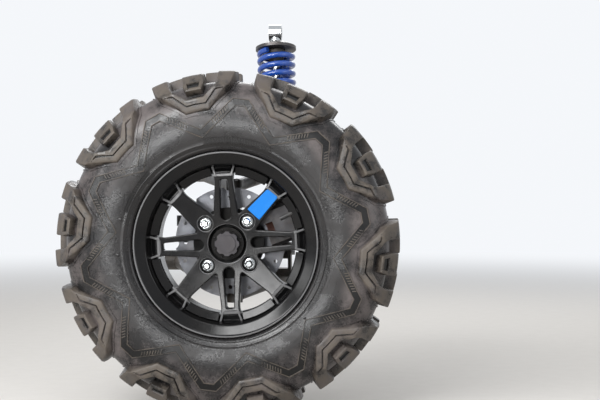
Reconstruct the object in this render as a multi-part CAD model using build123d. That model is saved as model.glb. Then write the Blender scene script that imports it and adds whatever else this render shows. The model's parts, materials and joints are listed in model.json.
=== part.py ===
"""Front wheel and suspension corner of a side-by-side utility vehicle.

Millimetres. +X points to the front of the vehicle, -Y to its outside and +Z up. The origin is on the
lower arm's pivot axis, midway between its two bushes. The pieces round the wheel are made in a frame
of their own: u forward, v up and w outboard from the middle of the tyre, as seen from outside.
"""
import os
from math import cos, pi, radians, sin, tan

from build123d import *

os.makedirs("parts", exist_ok=True)

# Where the wheel's centre stands from the origin
WHEEL_X = 0
WHEEL_Y = -420
WHEEL_Z = 65

# Clearances
RUNNING_GAP = 0.05
SEAT_GAP = 0.3
MOVING_GAP = 5.5
CUT_EXTRA = 5

# Tyre, 25 x 8 - 12, on flat facets so that its lugs stay light
TYRE_RADIUS = 317.5
TYRE_HALF_WIDTH = 102.5
TYRE_WALL = 10
SHOULDER_DROP = 34.5
LUG_HEIGHT = 19.5
LUG_ROOT = 3
LUG_COUNT = 10
LUG_FIRST_ANGLE = 29.3
LUG_FACETS = 3
CARCASS_FACETS = 6
LEG_INNER_END = 26
POCKET_INNER_END = 44
POCKET_DROP = 16.5
CENTRE_BLOCK_HALF = 22

# Rim, 12 x 6, with its mounting pad one inch outboard of the middle
RIM_FLANGE_RADIUS = 169.5
BEAD_RADIUS = 152.4
BEAD_HALF_WIDTH = 76.2
FLANGE_RISE = 9.8
WELL_RADIUS = 136
RIM_WALL = 4.5
PAD_OUT = 25.4

# Spokes: four with a slot and four plain, by turns
WHEEL_TURN = 3
SPOKE_PAIRS = 4
SPOKE_FACE_OUT = 58
SPOKE_STEP = 8
SPOKE_BACK_OUT = 36
SPOKE_FACE_RADIUS = 126
HUB_DISC_RADIUS = 63
SPOKE_TAPER = 0.095
SPOKE_WIDTH_RADIUS = 47
SLOTTED_HALF_WIDTH = 23.2
PLAIN_HALF_WIDTH = 21.7
WINDOW_CORNER = 5
FOOT_START = 118
FOOT_FLARE = 6
EAR_START = 125
EAR_LENGTH = 17
EAR_WIDTH = 4
SLOT_INNER_RADIUS = 44
SLOT_OUTER_RADIUS = 119
SLOT_INNER_HALF = 9.75
SLOT_OUTER_HALF = 6.8
EDGE_BREAK = 1.6
SPOKE_SKIN = 7
SPOKE_RIB = 5

# Valve, in the barrel between two spokes
VALVE_ANGLE = 22.5
VALVE_RADIUS = 5.5
VALVE_BASE = 143
VALVE_OUT = 50
VALVE_LENGTH = 35

# Wheel fastening
STUD_CIRCLE = 110
STUD_COUNT = 4
STUD_RADIUS = 5
STUD_HOLE_RADIUS = 6.2
STUD_REACH = 13
NUT_RADIUS = 8.5
NUT_POCKET_RADIUS = 14
NUT_SEAT_OUT = 40
NUT_LENGTH = 22
CENTRE_BORE_RADIUS = 35.75
PLATE_INNER = 70
PLATE_OUTER = 121
PLATE_THICKNESS = 1.6
PLATE_BORDER = 2.8

# Hub, cap, brake disc and bearing
HUB_FLANGE_RADIUS = 66
HUB_FLANGE_THICKNESS = 11.4
HUB_NOSE_RADIUS = 30
HUB_NOSE_OUT = 45
CAP_RADIUS = 22.5
CAP_DISC_RADIUS = 16
CAP_HEIGHT = 12
CAP_LOBES = 8
DISC_SEAT_RADIUS = 50
DISC_RADIUS = 103
DISC_THICKNESS = 4
DISC_BORE_RADIUS = 32
DISC_WAVES = 8
DISC_BOLT_CIRCLE = 84
DISC_BOLT_RADIUS = 4
JOURNAL_RADIUS = 22
BEARING_RADIUS = 37
BEARING_OUTER_FACE = -14
BEARING_WIDTH = 24

# Knuckle, its steering axis and the drive joint on it
KINGPIN_OUT = -68
KINGPIN_LEAN = 4
BALL_HEIGHT = 95
BALL_RADIUS = 9
BALL_HOUSING_RADIUS = 17
BALL_NECK_RADIUS = 6
STUD_SHANK_RADIUS = 7
BOSS_START = 15
BOSS_END = 34
BOSS_RADIUS = 15
HOUSING_RADIUS = 46
WEB_HALF_WIDTH = 13
JOINT_BALL_RADIUS = 24
JOINT_BELL_RADIUS = 36
JOINT_MOUTH_ANGLE = 64
SHAFT_RADIUS = 12
TIE_X = -95
TIE_HEIGHT = 35
TIE_OUT = -55
TIE_LENGTH = 345
TIE_RADIUS = 8
STEERING_ARM_THICKNESS = 14

# Caliper
CALIPER_ANGLE = 20
CALIPER_SEAT = 74
CALIPER_HALF_LENGTH = 36
CALIPER_OUT = 28
CALIPER_IN = -40
PAD_BACK = 8.7
PISTON_RADIUS = 14

# Arms
LOWER_TUBE_RADIUS = 14
UPPER_TUBE_RADIUS = 12
CROSS_TUBE_RADIUS = 10
PIVOT_BORE_RADIUS = 6.05
LOWER_PIVOT_SPREAD = 160
UPPER_PIVOT_FRONT = 50
UPPER_PIVOT_REAR = -110
UPPER_PIVOT_Y = -40
UPPER_PIVOT_Z = 190
LOWER_BUSH_RADIUS = 14
UPPER_BUSH_RADIUS = 12
BUSH_LENGTH = 50
BUSH_FLANGE = 3
SLEEVE_WALL = 5
COPE_SIDES = 16

# Coil-over, from its foot on the lower arm to its head on the frame
SHOCK_FOOT_X = 80
SHOCK_FOOT_Y = -190
SHOCK_FOOT_Z = 36
SHOCK_HEAD_X = 60
SHOCK_HEAD_Y = -100
SHOCK_HEAD_Z = 485
SHOCK_BODY_RADIUS = 24
SHOCK_NECK_RADIUS = 12
SHOCK_ROD_RADIUS = 7
SHOCK_EYE_RADIUS = 17
SHOCK_EYE_WIDTH = 26
SHOCK_BUSH_RADIUS = 11
SHOCK_BOLT_RADIUS = 5
EAR_THICKNESS = 6
SPRING_START = 205
SPRING_HEAD_DROP = 37.6
SPRING_RADIUS = 34
WIRE_RADIUS = 6
SPRING_PITCH = 18
SPRING_SIDES = 12
ROD_END_START = 200
BODY_OVERLAP = 95
SEAT_FLANGE = 9

# Half-shaft
INNER_JOINT_Y = 430
INNER_JOINT_RADIUS = 34
STUB_RADIUS = 11
JOINT_CUP_FRONT = 18
JOINT_CUP_BACK = 38
STUB_START = 44
STUB_LENGTH = 34
BOOT_LENGTH = 62
BOOT_FOLDS = 3
BOOT_WALL = 2.5
BOOT_FOLD_DEPTH = 7

# Worked out from the sizes above
TREAD_RADIUS = TYRE_RADIUS - LUG_HEIGHT
SHOULDER_OUT = TYRE_HALF_WIDTH - SHOULDER_DROP
WELL_INNER_RADIUS = WELL_RADIUS - RIM_WALL
LIP_OUT = BEAD_HALF_WIDTH + FLANGE_RISE
SPOKE_STEP_OUT = SPOKE_FACE_OUT - SPOKE_STEP
HOUSING_FRONT = BEARING_OUTER_FACE + 1.5
HOUSING_BACK = BEARING_OUTER_FACE - BEARING_WIDTH
JOINT_MOUTH_OUT = KINGPIN_OUT - (JOINT_BALL_RADIUS + SEAT_GAP) * cos(radians(JOINT_MOUTH_ANGLE))
WHEEL_FRAME = Plane(origin=(WHEEL_X, WHEEL_Y, WHEEL_Z), x_dir=(1, 0, 0), z_dir=(0, -1, 0))
LOWER_BALL = Vector(0, -BALL_HEIGHT, KINGPIN_OUT + KINGPIN_LEAN)
UPPER_BALL = Vector(0, BALL_HEIGHT, KINGPIN_OUT - KINGPIN_LEAN)
TIE_BALL = Vector(TIE_X, TIE_HEIGHT, TIE_OUT)
KINGPIN = (UPPER_BALL - LOWER_BALL).normalized()
LOWER_PIVOTS = [(LOWER_PIVOT_SPREAD, 0, 0), (-LOWER_PIVOT_SPREAD, 0, 0)]
UPPER_PIVOTS = [(x, UPPER_PIVOT_Y, UPPER_PIVOT_Z) for x in (UPPER_PIVOT_FRONT, UPPER_PIVOT_REAR)]
SHOCK_FOOT = Vector(SHOCK_FOOT_X, SHOCK_FOOT_Y, SHOCK_FOOT_Z)
SHOCK_HEAD = Vector(SHOCK_HEAD_X, SHOCK_HEAD_Y, SHOCK_HEAD_Z)
SHOCK_LENGTH = (SHOCK_HEAD - SHOCK_FOOT).length
SHOCK_AXIS = (SHOCK_HEAD - SHOCK_FOOT).normalized()
SPRING_END = SHOCK_LENGTH - SPRING_HEAD_DROP


def at_wheel(shape):
    """Moves a shape from the wheel's frame to the vehicle's."""
    return WHEEL_FRAME.location * shape


def wheel_point(point):
    """A point of the wheel's frame, in the vehicle's frame."""
    return Vector(WHEEL_X + point.X, WHEEL_Y - point.Z, WHEEL_Z + point.Y)


def turning(outline, start=(0, 0, 0), direction=(0, 0, 1)):
    """A turned solid from (radius, distance along the axis) points."""
    face = Plane.XZ * make_face(Polyline(*outline, close=True))
    return Plane(origin=start, z_dir=direction).location * revolve(face, Axis.Z)


def bar(start, end, radius, bore=0):
    """A round bar or tube between two points."""
    length = (Vector(end) - Vector(start)).length
    outline = [(bore, 0), (radius, 0), (radius, length), (bore, length)]
    return turning(outline, start, Vector(end) - Vector(start))


def bar_along_x(centre, half, radius, bore=0):
    """A round bar or tube along X, from its middle and half its length."""
    reach = Vector(half, 0, 0)
    return bar(Vector(centre) - reach, Vector(centre) + reach, radius, bore)


def ring_of(shape, count, first_angle=0):
    """Copies of a shape round the wheel's axis."""
    return [Rot(0, 0, first_angle + i * 360 / count) * shape for i in range(count)]


def plate(outline, low, high):
    """A prism on (u, v) points, from one w to another."""
    return Pos(0, 0, low) * extrude(make_face(Polyline(*outline, close=True)), high - low)


def other_side(outline):
    """(radius, out) points of the inboard side, in reverse order."""
    return [(r, -w) for r, w in reversed(outline)]


# Tyre
def facet(outline, sides):
    """One flat-sided wedge of a ring with this (radius, out) section."""
    half_angle = pi / sides
    reach = TYRE_RADIUS * 1.2
    slab = extrude(Plane.XZ * make_face(Polyline(*outline, close=True)), reach * tan(half_angle), both=True)
    corner = reach * tan(half_angle)
    return slab & plate([(0, 0), (reach, -corner), (reach, corner)], -TYRE_RADIUS, TYRE_RADIUS)


def flat_sided(outline, sides, first_angle, count):
    """Some of the facets of a ring, joined side by side."""
    first, *others = [Rot(0, 0, first_angle + i * 360 / sides) * facet(outline, sides) for i in range(count)]
    return first.fuse(*others)


def tread_points(table):
    """(u, v) points from (height over the tread, degrees from the lug's middle)."""
    return [((TREAD_RADIUS + height) * cos(radians(angle)), (TREAD_RADIUS + height) * sin(radians(angle)))
            for height, angle in table]


def both_halves(table):
    """A lug's whole outline from its half outline."""
    half = tread_points(table)
    return half + [(u, -v) for u, v in reversed(half)]


def tyre():
    """Carcass with ten U-shaped shoulder lugs a side, a block in each U's pocket and centre blocks."""
    seat = BEAD_RADIUS + SEAT_GAP
    heel = BEAD_HALF_WIDTH - SEAT_GAP
    guard = RIM_FLANGE_RADIUS + 14
    brow = TREAD_RADIUS - 36
    belly = (guard + brow) / 2
    outside = [(seat, heel - 14), (seat, heel), (BEAD_RADIUS + 9.6, heel),
               (RIM_FLANGE_RADIUS + 1.5, heel + 6.6), (guard, TYRE_HALF_WIDTH - 9.5),
               (belly, TYRE_HALF_WIDTH - 3.5), (brow, TYRE_HALF_WIDTH - 6.5),
               (TREAD_RADIUS, SHOULDER_OUT)]
    inside = [(TREAD_RADIUS - TYRE_WALL, SHOULDER_OUT - 12), (belly, TYRE_HALF_WIDTH - 3.5 - TYRE_WALL),
              (BEAD_RADIUS + 10.6, heel - 14)]
    section = outside + other_side(outside) + other_side(inside) + inside
    sides = LUG_COUNT * CARCASS_FACETS
    carcass = flat_sided(section, sides, LUG_FIRST_ANGLE + 180 / sides, sides)

    sides = LUG_COUNT * LUG_FACETS
    crown = TYRE_RADIUS * cos(pi / sides)
    tops = [(TREAD_RADIUS - 46, TYRE_HALF_WIDTH), (TREAD_RADIUS - 8, TYRE_HALF_WIDTH - 2.5),
            (crown, SHOULDER_OUT)]
    roots = [(TREAD_RADIUS - LUG_ROOT, SHOULDER_OUT - 2), (TREAD_RADIUS - 39, TYRE_HALF_WIDTH - 12.5),
             (TREAD_RADIUS - 58, TYRE_HALF_WIDTH - 8.5)]
    layer = flat_sided(tops + other_side(tops) + other_side(roots) + roots, sides, -360 / sides, LUG_FACETS)

    # Half outlines: (height over the tread, degrees from the middle of the U)
    past = LUG_HEIGHT + 12
    u_half = [(-53, 5.2), (-2, 13.9), (past, 15), (past, 9.1), (-6, 8.3), (-29, 3.5)]
    pocket_half = [(-13, 3), (past, 3.5)]
    centre_block = [(-LUG_ROOT, 3.5), (past, 3.5), (past, 9.5), (-LUG_ROOT, 9.5)]
    u_lug = plate(both_halves(u_half), LEG_INNER_END, TYRE_HALF_WIDTH + CUT_EXTRA) & layer
    pocket = plate(both_halves(pocket_half), POCKET_INNER_END, TYRE_HALF_WIDTH - POCKET_DROP) & layer
    block = plate(tread_points(centre_block), -CENTRE_BLOCK_HALF, CENTRE_BLOCK_HALF) & layer
    lugs = []
    for lug, twin in ((u_lug, Plane.XY), (pocket, Plane.XY), (block, Plane.XZ)):
        lugs += ring_of(lug, LUG_COUNT, LUG_FIRST_ANGLE)
        lugs += ring_of(mirror(lug, twin), LUG_COUNT, LUG_FIRST_ANGLE)
    return carcass.fuse(*lugs)


# Rim
def spoke_half_width(half_width, radius):
    """Half the width of a spoke that has this half width at SPOKE_WIDTH_RADIUS."""
    return half_width - SPOKE_TAPER * (radius - SPOKE_WIDTH_RADIUS)


def spoke_outline(half_width, start, end, flare=0):
    """A spoke's (u, v) face between two radii, flared at its outer end if asked."""
    inner = spoke_half_width(half_width, start)
    outer = spoke_half_width(half_width, end) + flare
    return make_face(Polyline((start, -inner), (end, -outer), (end, outer), (start, inner), close=True))


def ears(half_width):
    """(u, v) faces of the two short ribs that flare from a spoke's face to the barrel."""
    inner = spoke_half_width(half_width, EAR_START) - EAR_WIDTH / 2
    outer = inner + FOOT_FLARE
    end = EAR_START + EAR_LENGTH
    outline = [(EAR_START, inner - EAR_WIDTH / 2), (end, outer - EAR_WIDTH / 2), (end, outer + EAR_WIDTH / 2),
               (EAR_START, inner + EAR_WIDTH / 2)]
    ear = make_face(Polyline(*outline, close=True))
    return [ear, mirror(ear, Plane.XZ)]


def spoke_slot():
    """Tapered slot with a round inner end, (u, v)."""
    centre = SLOT_INNER_RADIUS + SLOT_INNER_HALF
    taper = make_face(Polyline((centre, -SLOT_INNER_HALF), (SLOT_OUTER_RADIUS, -SLOT_OUTER_HALF),
                               (SLOT_OUTER_RADIUS, SLOT_OUTER_HALF), (centre, SLOT_INNER_HALF), close=True))
    return taper + Pos(centre, 0) * Circle(SLOT_INNER_HALF)


def rim():
    """Barrel with its eight-spoke centre, one casting."""
    half = BEAD_HALF_WIDTH
    flange = RIM_FLANGE_RADIUS
    hump = BEAD_RADIUS - 0.9
    outer_side = [(flange - 2, LIP_OUT), (flange, LIP_OUT - 1.5), (flange, half + 6),
                  (BEAD_RADIUS + 9.6, half + 0.6), (BEAD_RADIUS, half), (hump, half - 20)]
    lip_root = BEAD_RADIUS - 3.4
    inner_wall = BEAD_RADIUS - 6.4
    barrel = outer_side + [(WELL_RADIUS, 38), (WELL_RADIUS, -14)] + other_side(outer_side)
    barrel += [(lip_root, 8 - LIP_OUT), (lip_root - 2, -54), (WELL_INNER_RADIUS, -22), (WELL_INNER_RADIUS, 40),
               (WELL_INNER_RADIUS + 1.5, 44), (inner_wall, LIP_OUT - 14), (inner_wall, LIP_OUT - 11),
               (lip_root, LIP_OUT - 8)]

    far = WELL_RADIUS + EAR_LENGTH
    spokes = Sketch()
    feet = Sketch()
    for turn in range(SPOKE_PAIRS):
        for offset, width in ((0, SLOTTED_HALF_WIDTH), (45, PLAIN_HALF_WIDTH)):
            place = Rot(0, 0, turn * 360 / SPOKE_PAIRS + offset)
            spokes += place * spoke_outline(width, 0, far)
            spokes += place * spoke_outline(width, FOOT_START, WELL_RADIUS, FOOT_FLARE)
            feet += [place * ear for ear in ears(width)]
    windows = Circle(WELL_INNER_RADIUS + 1) - spokes
    windows = fillet(windows.vertices(), WINDOW_CORNER)

    body = Pos(0, 0, SPOKE_BACK_OUT) * extrude(Circle(WELL_RADIUS - 2), SPOKE_STEP_OUT - SPOKE_BACK_OUT)
    face_edge = RegularPolygon(SPOKE_FACE_RADIUS, 2 * SPOKE_PAIRS, major_radius=False, rotation=22.5)
    body += Pos(0, 0, SPOKE_BACK_OUT) * extrude(face_edge, SPOKE_FACE_OUT - SPOKE_BACK_OUT)
    body += Pos(0, 0, PAD_OUT) * extrude(Circle(HUB_DISC_RADIUS), SPOKE_FACE_OUT - PAD_OUT)
    body -= Pos(0, 0, SPOKE_BACK_OUT) * extrude(windows, SPOKE_FACE_OUT - SPOKE_BACK_OUT + CUT_EXTRA)
    slot = Pos(0, 0, SPOKE_BACK_OUT - 1) * extrude(spoke_slot(), SPOKE_FACE_OUT)
    body = body.cut(*ring_of(slot, SPOKE_PAIRS))
    face = body.faces().filter_by(Axis.Z).sort_by(Axis.Z)[-1]
    body = chamfer(face.edges(), EDGE_BREAK)

    pocket = Pos(STUD_CIRCLE / 2, 0, NUT_SEAT_OUT) * extrude(Circle(NUT_POCKET_RADIUS), SPOKE_FACE_OUT)
    hole = Pos(STUD_CIRCLE / 2, 0, 0) * extrude(Circle(STUD_HOLE_RADIUS), SPOKE_FACE_OUT)
    rib = SPOKE_RIB
    inner = spoke_half_width(PLAIN_HALF_WIDTH, HUB_DISC_RADIUS + rib) - rib
    outer = spoke_half_width(PLAIN_HALF_WIDTH, SPOKE_FACE_RADIUS - rib) - rib
    hollow = plate([(HUB_DISC_RADIUS + rib, -inner), (SPOKE_FACE_RADIUS - rib, -outer),
                    (SPOKE_FACE_RADIUS - rib, outer), (HUB_DISC_RADIUS + rib, inner)],
                   SPOKE_BACK_OUT - 1, SPOKE_FACE_OUT - SPOKE_SKIN)
    cuts = ring_of(pocket, STUD_COUNT, 45) + ring_of(hole, STUD_COUNT, 45) + ring_of(hollow, SPOKE_PAIRS, 45)
    cuts.append(extrude(Circle(CENTRE_BORE_RADIUS), SPOKE_FACE_OUT + CUT_EXTRA))
    body = body.cut(*cuts)
    ribs = Pos(0, 0, SPOKE_STEP_OUT - 4) * extrude(feet, SPOKE_STEP + 3)
    whole = turning(barrel).fuse(body, *ribs.solids())
    valve_hole = turning([(0, -20), (VALVE_RADIUS, -20), (VALVE_RADIUS, 0), (9, 0), (9, 12), (0, 12)],
                         (VALVE_BASE, 0, VALVE_OUT), (1, 0, 0))
    whole -= Rot(0, 0, VALVE_ANGLE) * valve_hole
    return Rot(0, 0, WHEEL_TURN) * whole


def valve_stem():
    """Rubber snap-in stem, standing in from the barrel to a capped end."""
    fit = VALVE_RADIUS - RUNNING_GAP
    outline = [(0, -3), (8, -3), (8, -SEAT_GAP), (fit, -SEAT_GAP), (fit, 10), (4, 20), (4, VALVE_LENGTH),
               (0, VALVE_LENGTH)]
    stem = turning(outline, (VALVE_BASE, 0, VALVE_OUT), (-1, 0, 0))
    return Rot(0, 0, WHEEL_TURN + VALVE_ANGLE) * stem


def wheel_nuts():
    """Closed tapered nuts with hexagon flanks and a round end."""
    base = NUT_SEAT_OUT + SEAT_GAP
    nut = Pos(0, 0, base + 4) * extrude(RegularPolygon(NUT_RADIUS, 6), NUT_LENGTH - 8)
    seat = [(0, 0), (STUD_HOLE_RADIUS + 1, 0), (NUT_RADIUS + 2.5, 4), (NUT_RADIUS, 5), (0, 5)]
    nut += turning(seat, (0, 0, base))
    nut += turning([(0, 0), (NUT_RADIUS - 1.4, 0), (4.5, 4), (0, 4)], (0, 0, base + NUT_LENGTH - 4))
    fit = STUD_RADIUS + RUNNING_GAP
    nut -= turning([(0, -1), (fit, -1), (fit, STUD_REACH + 1), (0, STUD_REACH + 1)], (0, 0, base))
    return ring_of(Pos(STUD_CIRCLE / 2, 0, 0) * nut, STUD_COUNT, WHEEL_TURN + 45)


def spoke_plate():
    """Plain tapered plate with a bevelled border, on the face of one solid spoke."""
    inner = spoke_half_width(PLAIN_HALF_WIDTH, PLATE_INNER) - EDGE_BREAK - PLATE_BORDER
    outer = spoke_half_width(PLAIN_HALF_WIDTH, PLATE_OUTER) - EDGE_BREAK - PLATE_BORDER / 2
    outline = [(PLATE_INNER, -inner), (PLATE_OUTER, -outer), (PLATE_OUTER, outer), (PLATE_INNER, inner)]
    piece = plate(outline, SPOKE_FACE_OUT, SPOKE_FACE_OUT + PLATE_THICKNESS)
    top = piece.faces().sort_by(Axis.Z)[-1]
    return Rot(0, 0, WHEEL_TURN + 45) * chamfer(top.edges(), PLATE_THICKNESS / 2)


# Hub and brake disc
def centre_cap():
    """Scalloped cap with a raised disc, on the hub's nose."""
    scallop = Pos(CAP_RADIUS + 3.4, 0) * Circle(6)
    outline = Circle(CAP_RADIUS) - [Rot(0, 0, (i + 0.5) * 360 / CAP_LOBES) * scallop for i in range(CAP_LOBES)]
    cap = extrude(outline, CAP_HEIGHT)
    cap += Pos(0, 0, CAP_HEIGHT) * extrude(Circle(CAP_DISC_RADIUS), 2.5)
    return Pos(0, 0, HUB_NOSE_OUT) * cap


def hub():
    """Flange with four studs, nose, disc seat and the journal that the bearing runs on."""
    flange_in = PAD_OUT - HUB_FLANGE_THICKNESS
    step = JOURNAL_RADIUS + 6
    shoulder = BEARING_OUTER_FACE + SEAT_GAP
    disc_front = DISC_THICKNESS / 2
    outline = [(0, HOUSING_BACK), (JOURNAL_RADIUS, HOUSING_BACK), (JOURNAL_RADIUS, shoulder), (step, shoulder),
               (step, disc_front), (DISC_SEAT_RADIUS, disc_front), (DISC_SEAT_RADIUS, flange_in),
               (HUB_FLANGE_RADIUS, flange_in), (HUB_FLANGE_RADIUS, PAD_OUT), (HUB_NOSE_RADIUS, PAD_OUT),
               (HUB_NOSE_RADIUS, HUB_NOSE_OUT), (0, HUB_NOSE_OUT)]
    stud_length = NUT_SEAT_OUT + STUD_REACH - 1 - flange_in
    stud = Pos(STUD_CIRCLE / 2, 0, flange_in + 1) * extrude(Circle(STUD_RADIUS), stud_length)
    return turning(outline).fuse(*ring_of(stud, STUD_COUNT, WHEEL_TURN + 45))


def brake_disc():
    """Disc with a waved edge, cooling holes and lightening windows."""
    step = 360 / DISC_WAVES
    # (shape, distance from the middle, first angle)
    cuts = [(Circle(15), DISC_RADIUS + 8, 0), (Circle(8), DISC_SEAT_RADIUS + 12, step / 2),
            (Circle(4), DISC_RADIUS - 19, 0), (Circle(3.5), DISC_RADIUS - 11, step / 2)]
    disc = Circle(DISC_RADIUS) - Circle(DISC_BORE_RADIUS)
    for shape, out, first in cuts:
        disc -= [Rot(0, 0, first + i * step) * Pos(out, 0) * shape for i in range(DISC_WAVES)]
    bolt = Pos(DISC_BOLT_CIRCLE / 2, 0) * Circle(DISC_BOLT_RADIUS + RUNNING_GAP)
    disc -= [Rot(0, 0, i * 90) * bolt for i in range(4)]
    return extrude(disc, DISC_THICKNESS / 2, both=True)


def disc_bolts():
    """Bolts from the disc's back into its seat on the hub."""
    back = -DISC_THICKNESS / 2
    head = DISC_BOLT_RADIUS + 3
    outline = [(0, -back), (DISC_BOLT_RADIUS, -back), (DISC_BOLT_RADIUS, back), (head, back), (head, back - 4),
               (0, back - 4)]
    return ring_of(Pos(DISC_BOLT_CIRCLE / 2, 0, 0) * turning(outline), 4)


def cv_bell():
    """Outer drive joint's bell, open towards the shaft."""
    cavity = JOINT_BALL_RADIUS + 1
    bottom = KINGPIN_OUT + cavity
    return turning([(0, HOUSING_BACK), (JOURNAL_RADIUS + 4, HOUSING_BACK),
                    (JOINT_BELL_RADIUS, HOUSING_BACK - 7), (JOINT_BELL_RADIUS, JOINT_MOUTH_OUT),
                    (cavity, JOINT_MOUTH_OUT), (cavity, bottom - 14), (cavity - 9, bottom), (0, bottom)])


# Knuckle side
def knuckle():
    """Bearing housing with a boss above and below, steering arm and caliper lug."""
    pieces = []
    for ball, side in ((UPPER_BALL, 1), (LOWER_BALL, -1)):
        away = KINGPIN * side
        pieces.append(bar(ball - away * BOSS_END, ball - away * BOSS_START, BOSS_RADIUS))
        boss_out = ball.Z + side * KINGPIN_LEAN * 0.2
        low = BALL_HEIGHT - BOSS_END + 0.5
        high = BALL_HEIGHT - BOSS_START - 1
        # (v, w) outline of the web from the housing to the boss
        web = [(30, HOUSING_FRONT), (HOUSING_RADIUS, HOUSING_FRONT), (high, boss_out + 12), (high, boss_out),
               (low, boss_out), (low, boss_out + 14), (HOUSING_RADIUS, HOUSING_BACK), (30, HOUSING_BACK)]
        face = Plane.YZ * make_face(Polyline(*[(side * v, w) for v, w in web], close=True))
        pieces.append(extrude(face, WEB_HALF_WIDTH, both=True))
    # (u, w) outline of the steering arm, from the housing back to the tie rod's stud
    arm = [(-20, HOUSING_FRONT), (-20, HOUSING_BACK), (-48, HOUSING_BACK), (TIE_X + 9, TIE_OUT - 8),
           (TIE_X - 5, TIE_OUT - 12), (TIE_X - 13, TIE_OUT), (TIE_X - 5, TIE_OUT + 12),
           (-HOUSING_RADIUS, HOUSING_FRONT)]
    face = Plane.XZ * make_face(Polyline(*arm, close=True))
    pieces.append(Pos(0, TIE_HEIGHT - BOSS_START, 0) * extrude(face, STEERING_ARM_THICKNESS))
    lug = Pos((CALIPER_SEAT + 36) / 2, 0, -29) * Box(CALIPER_SEAT - 36, 44, 16)
    pieces.append(Rot(0, 0, CALIPER_ANGLE) * lug)
    edge = HOUSING_RADIUS - 2
    housing = turning([(0, HOUSING_BACK), (edge, HOUSING_BACK), (HOUSING_RADIUS, HOUSING_BACK + 2),
                       (HOUSING_RADIUS, HOUSING_FRONT - 2), (edge, HOUSING_FRONT), (0, HOUSING_FRONT)])
    body = housing.fuse(*pieces)
    fit = BEARING_RADIUS + RUNNING_GAP
    front, back = HOUSING_FRONT + 1, HOUSING_BACK - 1
    body -= turning([(0, front), (fit, front), (fit, back), (0, back)])
    shank = STUD_SHANK_RADIUS + RUNNING_GAP
    for ball, away in ((UPPER_BALL, KINGPIN), (LOWER_BALL, -KINGPIN), (TIE_BALL, KINGPIN)):
        body -= bar(ball + away, ball - away * 50, shank)
    return body


def wheel_bearing():
    """Bearing's two rings as one, pressed in the housing."""
    low, high = HOUSING_BACK + SEAT_GAP, BEARING_OUTER_FACE
    inner = JOURNAL_RADIUS + RUNNING_GAP
    return turning([(inner, low), (BEARING_RADIUS, low), (BEARING_RADIUS, high), (inner, high)])


def stud(ball, away, boss_depth):
    """Ball, neck and shank from a ball's centre, with the nut behind the boss."""
    nut = boss_depth + SEAT_GAP
    outline = [(0, 1 - BALL_RADIUS), (5, 1 - BALL_RADIUS), (BALL_RADIUS, -3), (BALL_RADIUS, 3),
               (BALL_NECK_RADIUS, 7), (BALL_NECK_RADIUS, BOSS_START - 1), (STUD_SHANK_RADIUS, BOSS_START),
               (STUD_SHANK_RADIUS, nut)]
    shank = turning(outline + [(0, nut)], ball, away)
    head = Plane(origin=ball + away * nut, z_dir=away).location * extrude(RegularPolygon(11, 6), 9)
    return shank + head


def ball_studs():
    return [stud(UPPER_BALL, -KINGPIN, BOSS_END), stud(LOWER_BALL, KINGPIN, BOSS_END)]


def tie_rod_stud():
    return stud(TIE_BALL, -KINGPIN, BOSS_START + STEERING_ARM_THICKNESS + 0.5)


def caliper():
    """Floating caliper straddling the disc, with one piston housing, seated on the knuckle's lug."""
    reach = WELL_INNER_RADIUS - MOVING_GAP
    width = CALIPER_OUT - CALIPER_IN
    middle = (CALIPER_OUT + CALIPER_IN) / 2
    block = Box(reach - CALIPER_SEAT, 2 * CALIPER_HALF_LENGTH, width)
    body = Pos((CALIPER_SEAT + reach) / 2, 0, middle) * block
    body &= Pos(0, 0, middle) * Cylinder(reach, width)
    body = chamfer(body.edges().filter_by(Axis.X), 6)
    window = DISC_RADIUS + 4
    body -= Pos(window - 20, 0, 0) * Box(40, 2 * CALIPER_HALF_LENGTH - 10, 2 * PAD_BACK + 2 * SEAT_GAP)
    body -= Pos(window - 20, 0, 0) * Box(40, 2 * CALIPER_HALF_LENGTH + CUT_EXTRA, DISC_THICKNESS + 4)
    body -= Pos(CALIPER_SEAT, 0, PAD_BACK + 20) * Box(32, 20, 40)
    body += Pos(DISC_RADIUS - 12, 0, CALIPER_IN - 2) * Cylinder(PISTON_RADIUS, 8)
    return Rot(0, 0, CALIPER_ANGLE) * body


def brake_pads():
    """Pads on the two sides of the disc, with their backing plates."""
    low = DISC_THICKNESS / 2 + SEAT_GAP
    middle = (low + PAD_BACK) / 2
    pad = Pos(DISC_RADIUS - 15, 0, middle) * Box(26, 60, PAD_BACK - low)
    return [Rot(0, 0, CALIPER_ANGLE) * side for side in (pad, mirror(pad, Plane.XY))]


# Arms, in the vehicle's frame
def kingpin_up():
    """Direction of the steering axis in the vehicle's frame."""
    return (wheel_point(UPPER_BALL) - wheel_point(LOWER_BALL)).normalized()


def boot(ball, away):
    """Rubber cover from an arm's ball housing to the knuckle's boss."""
    top = BOSS_START - SEAT_GAP
    outline = [(14, 7 + SEAT_GAP), (15, 9), (10, top), (7.5, top), (7.5, 12), (12, 7 + SEAT_GAP)]
    return turning(outline, wheel_point(ball), away)


def ball_boots():
    return [boot(UPPER_BALL, -kingpin_up()), boot(LOWER_BALL, kingpin_up())]


def bush(pivot, radius):
    """Flanged plastic bush with the pivot bolt's bore."""
    half = BUSH_LENGTH / 2
    seat = half + SEAT_GAP
    flange = radius + SLEEVE_WALL - 1
    end = half + BUSH_FLANGE
    outline = [(radius, seat), (flange, seat), (flange, end), (PIVOT_BORE_RADIUS, end)]
    return turning(other_side(outline) + outline, pivot, (1, 0, 0))


def sleeves(pivots, radius):
    """Tubes that hold the bushes, welded across the ends of an arm's tubes."""
    return [bar_along_x(pivot, BUSH_LENGTH / 2, radius + SLEEVE_WALL, radius + RUNNING_GAP) for pivot in pivots]


def ball_cavity(centre, away):
    """Socket of a ball joint, open towards its stud."""
    room = BALL_RADIUS + SEAT_GAP
    return turning([(0, -room), (room, -room), (room, 4), (8, 7), (12, 40), (0, 40)], centre, away)


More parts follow.
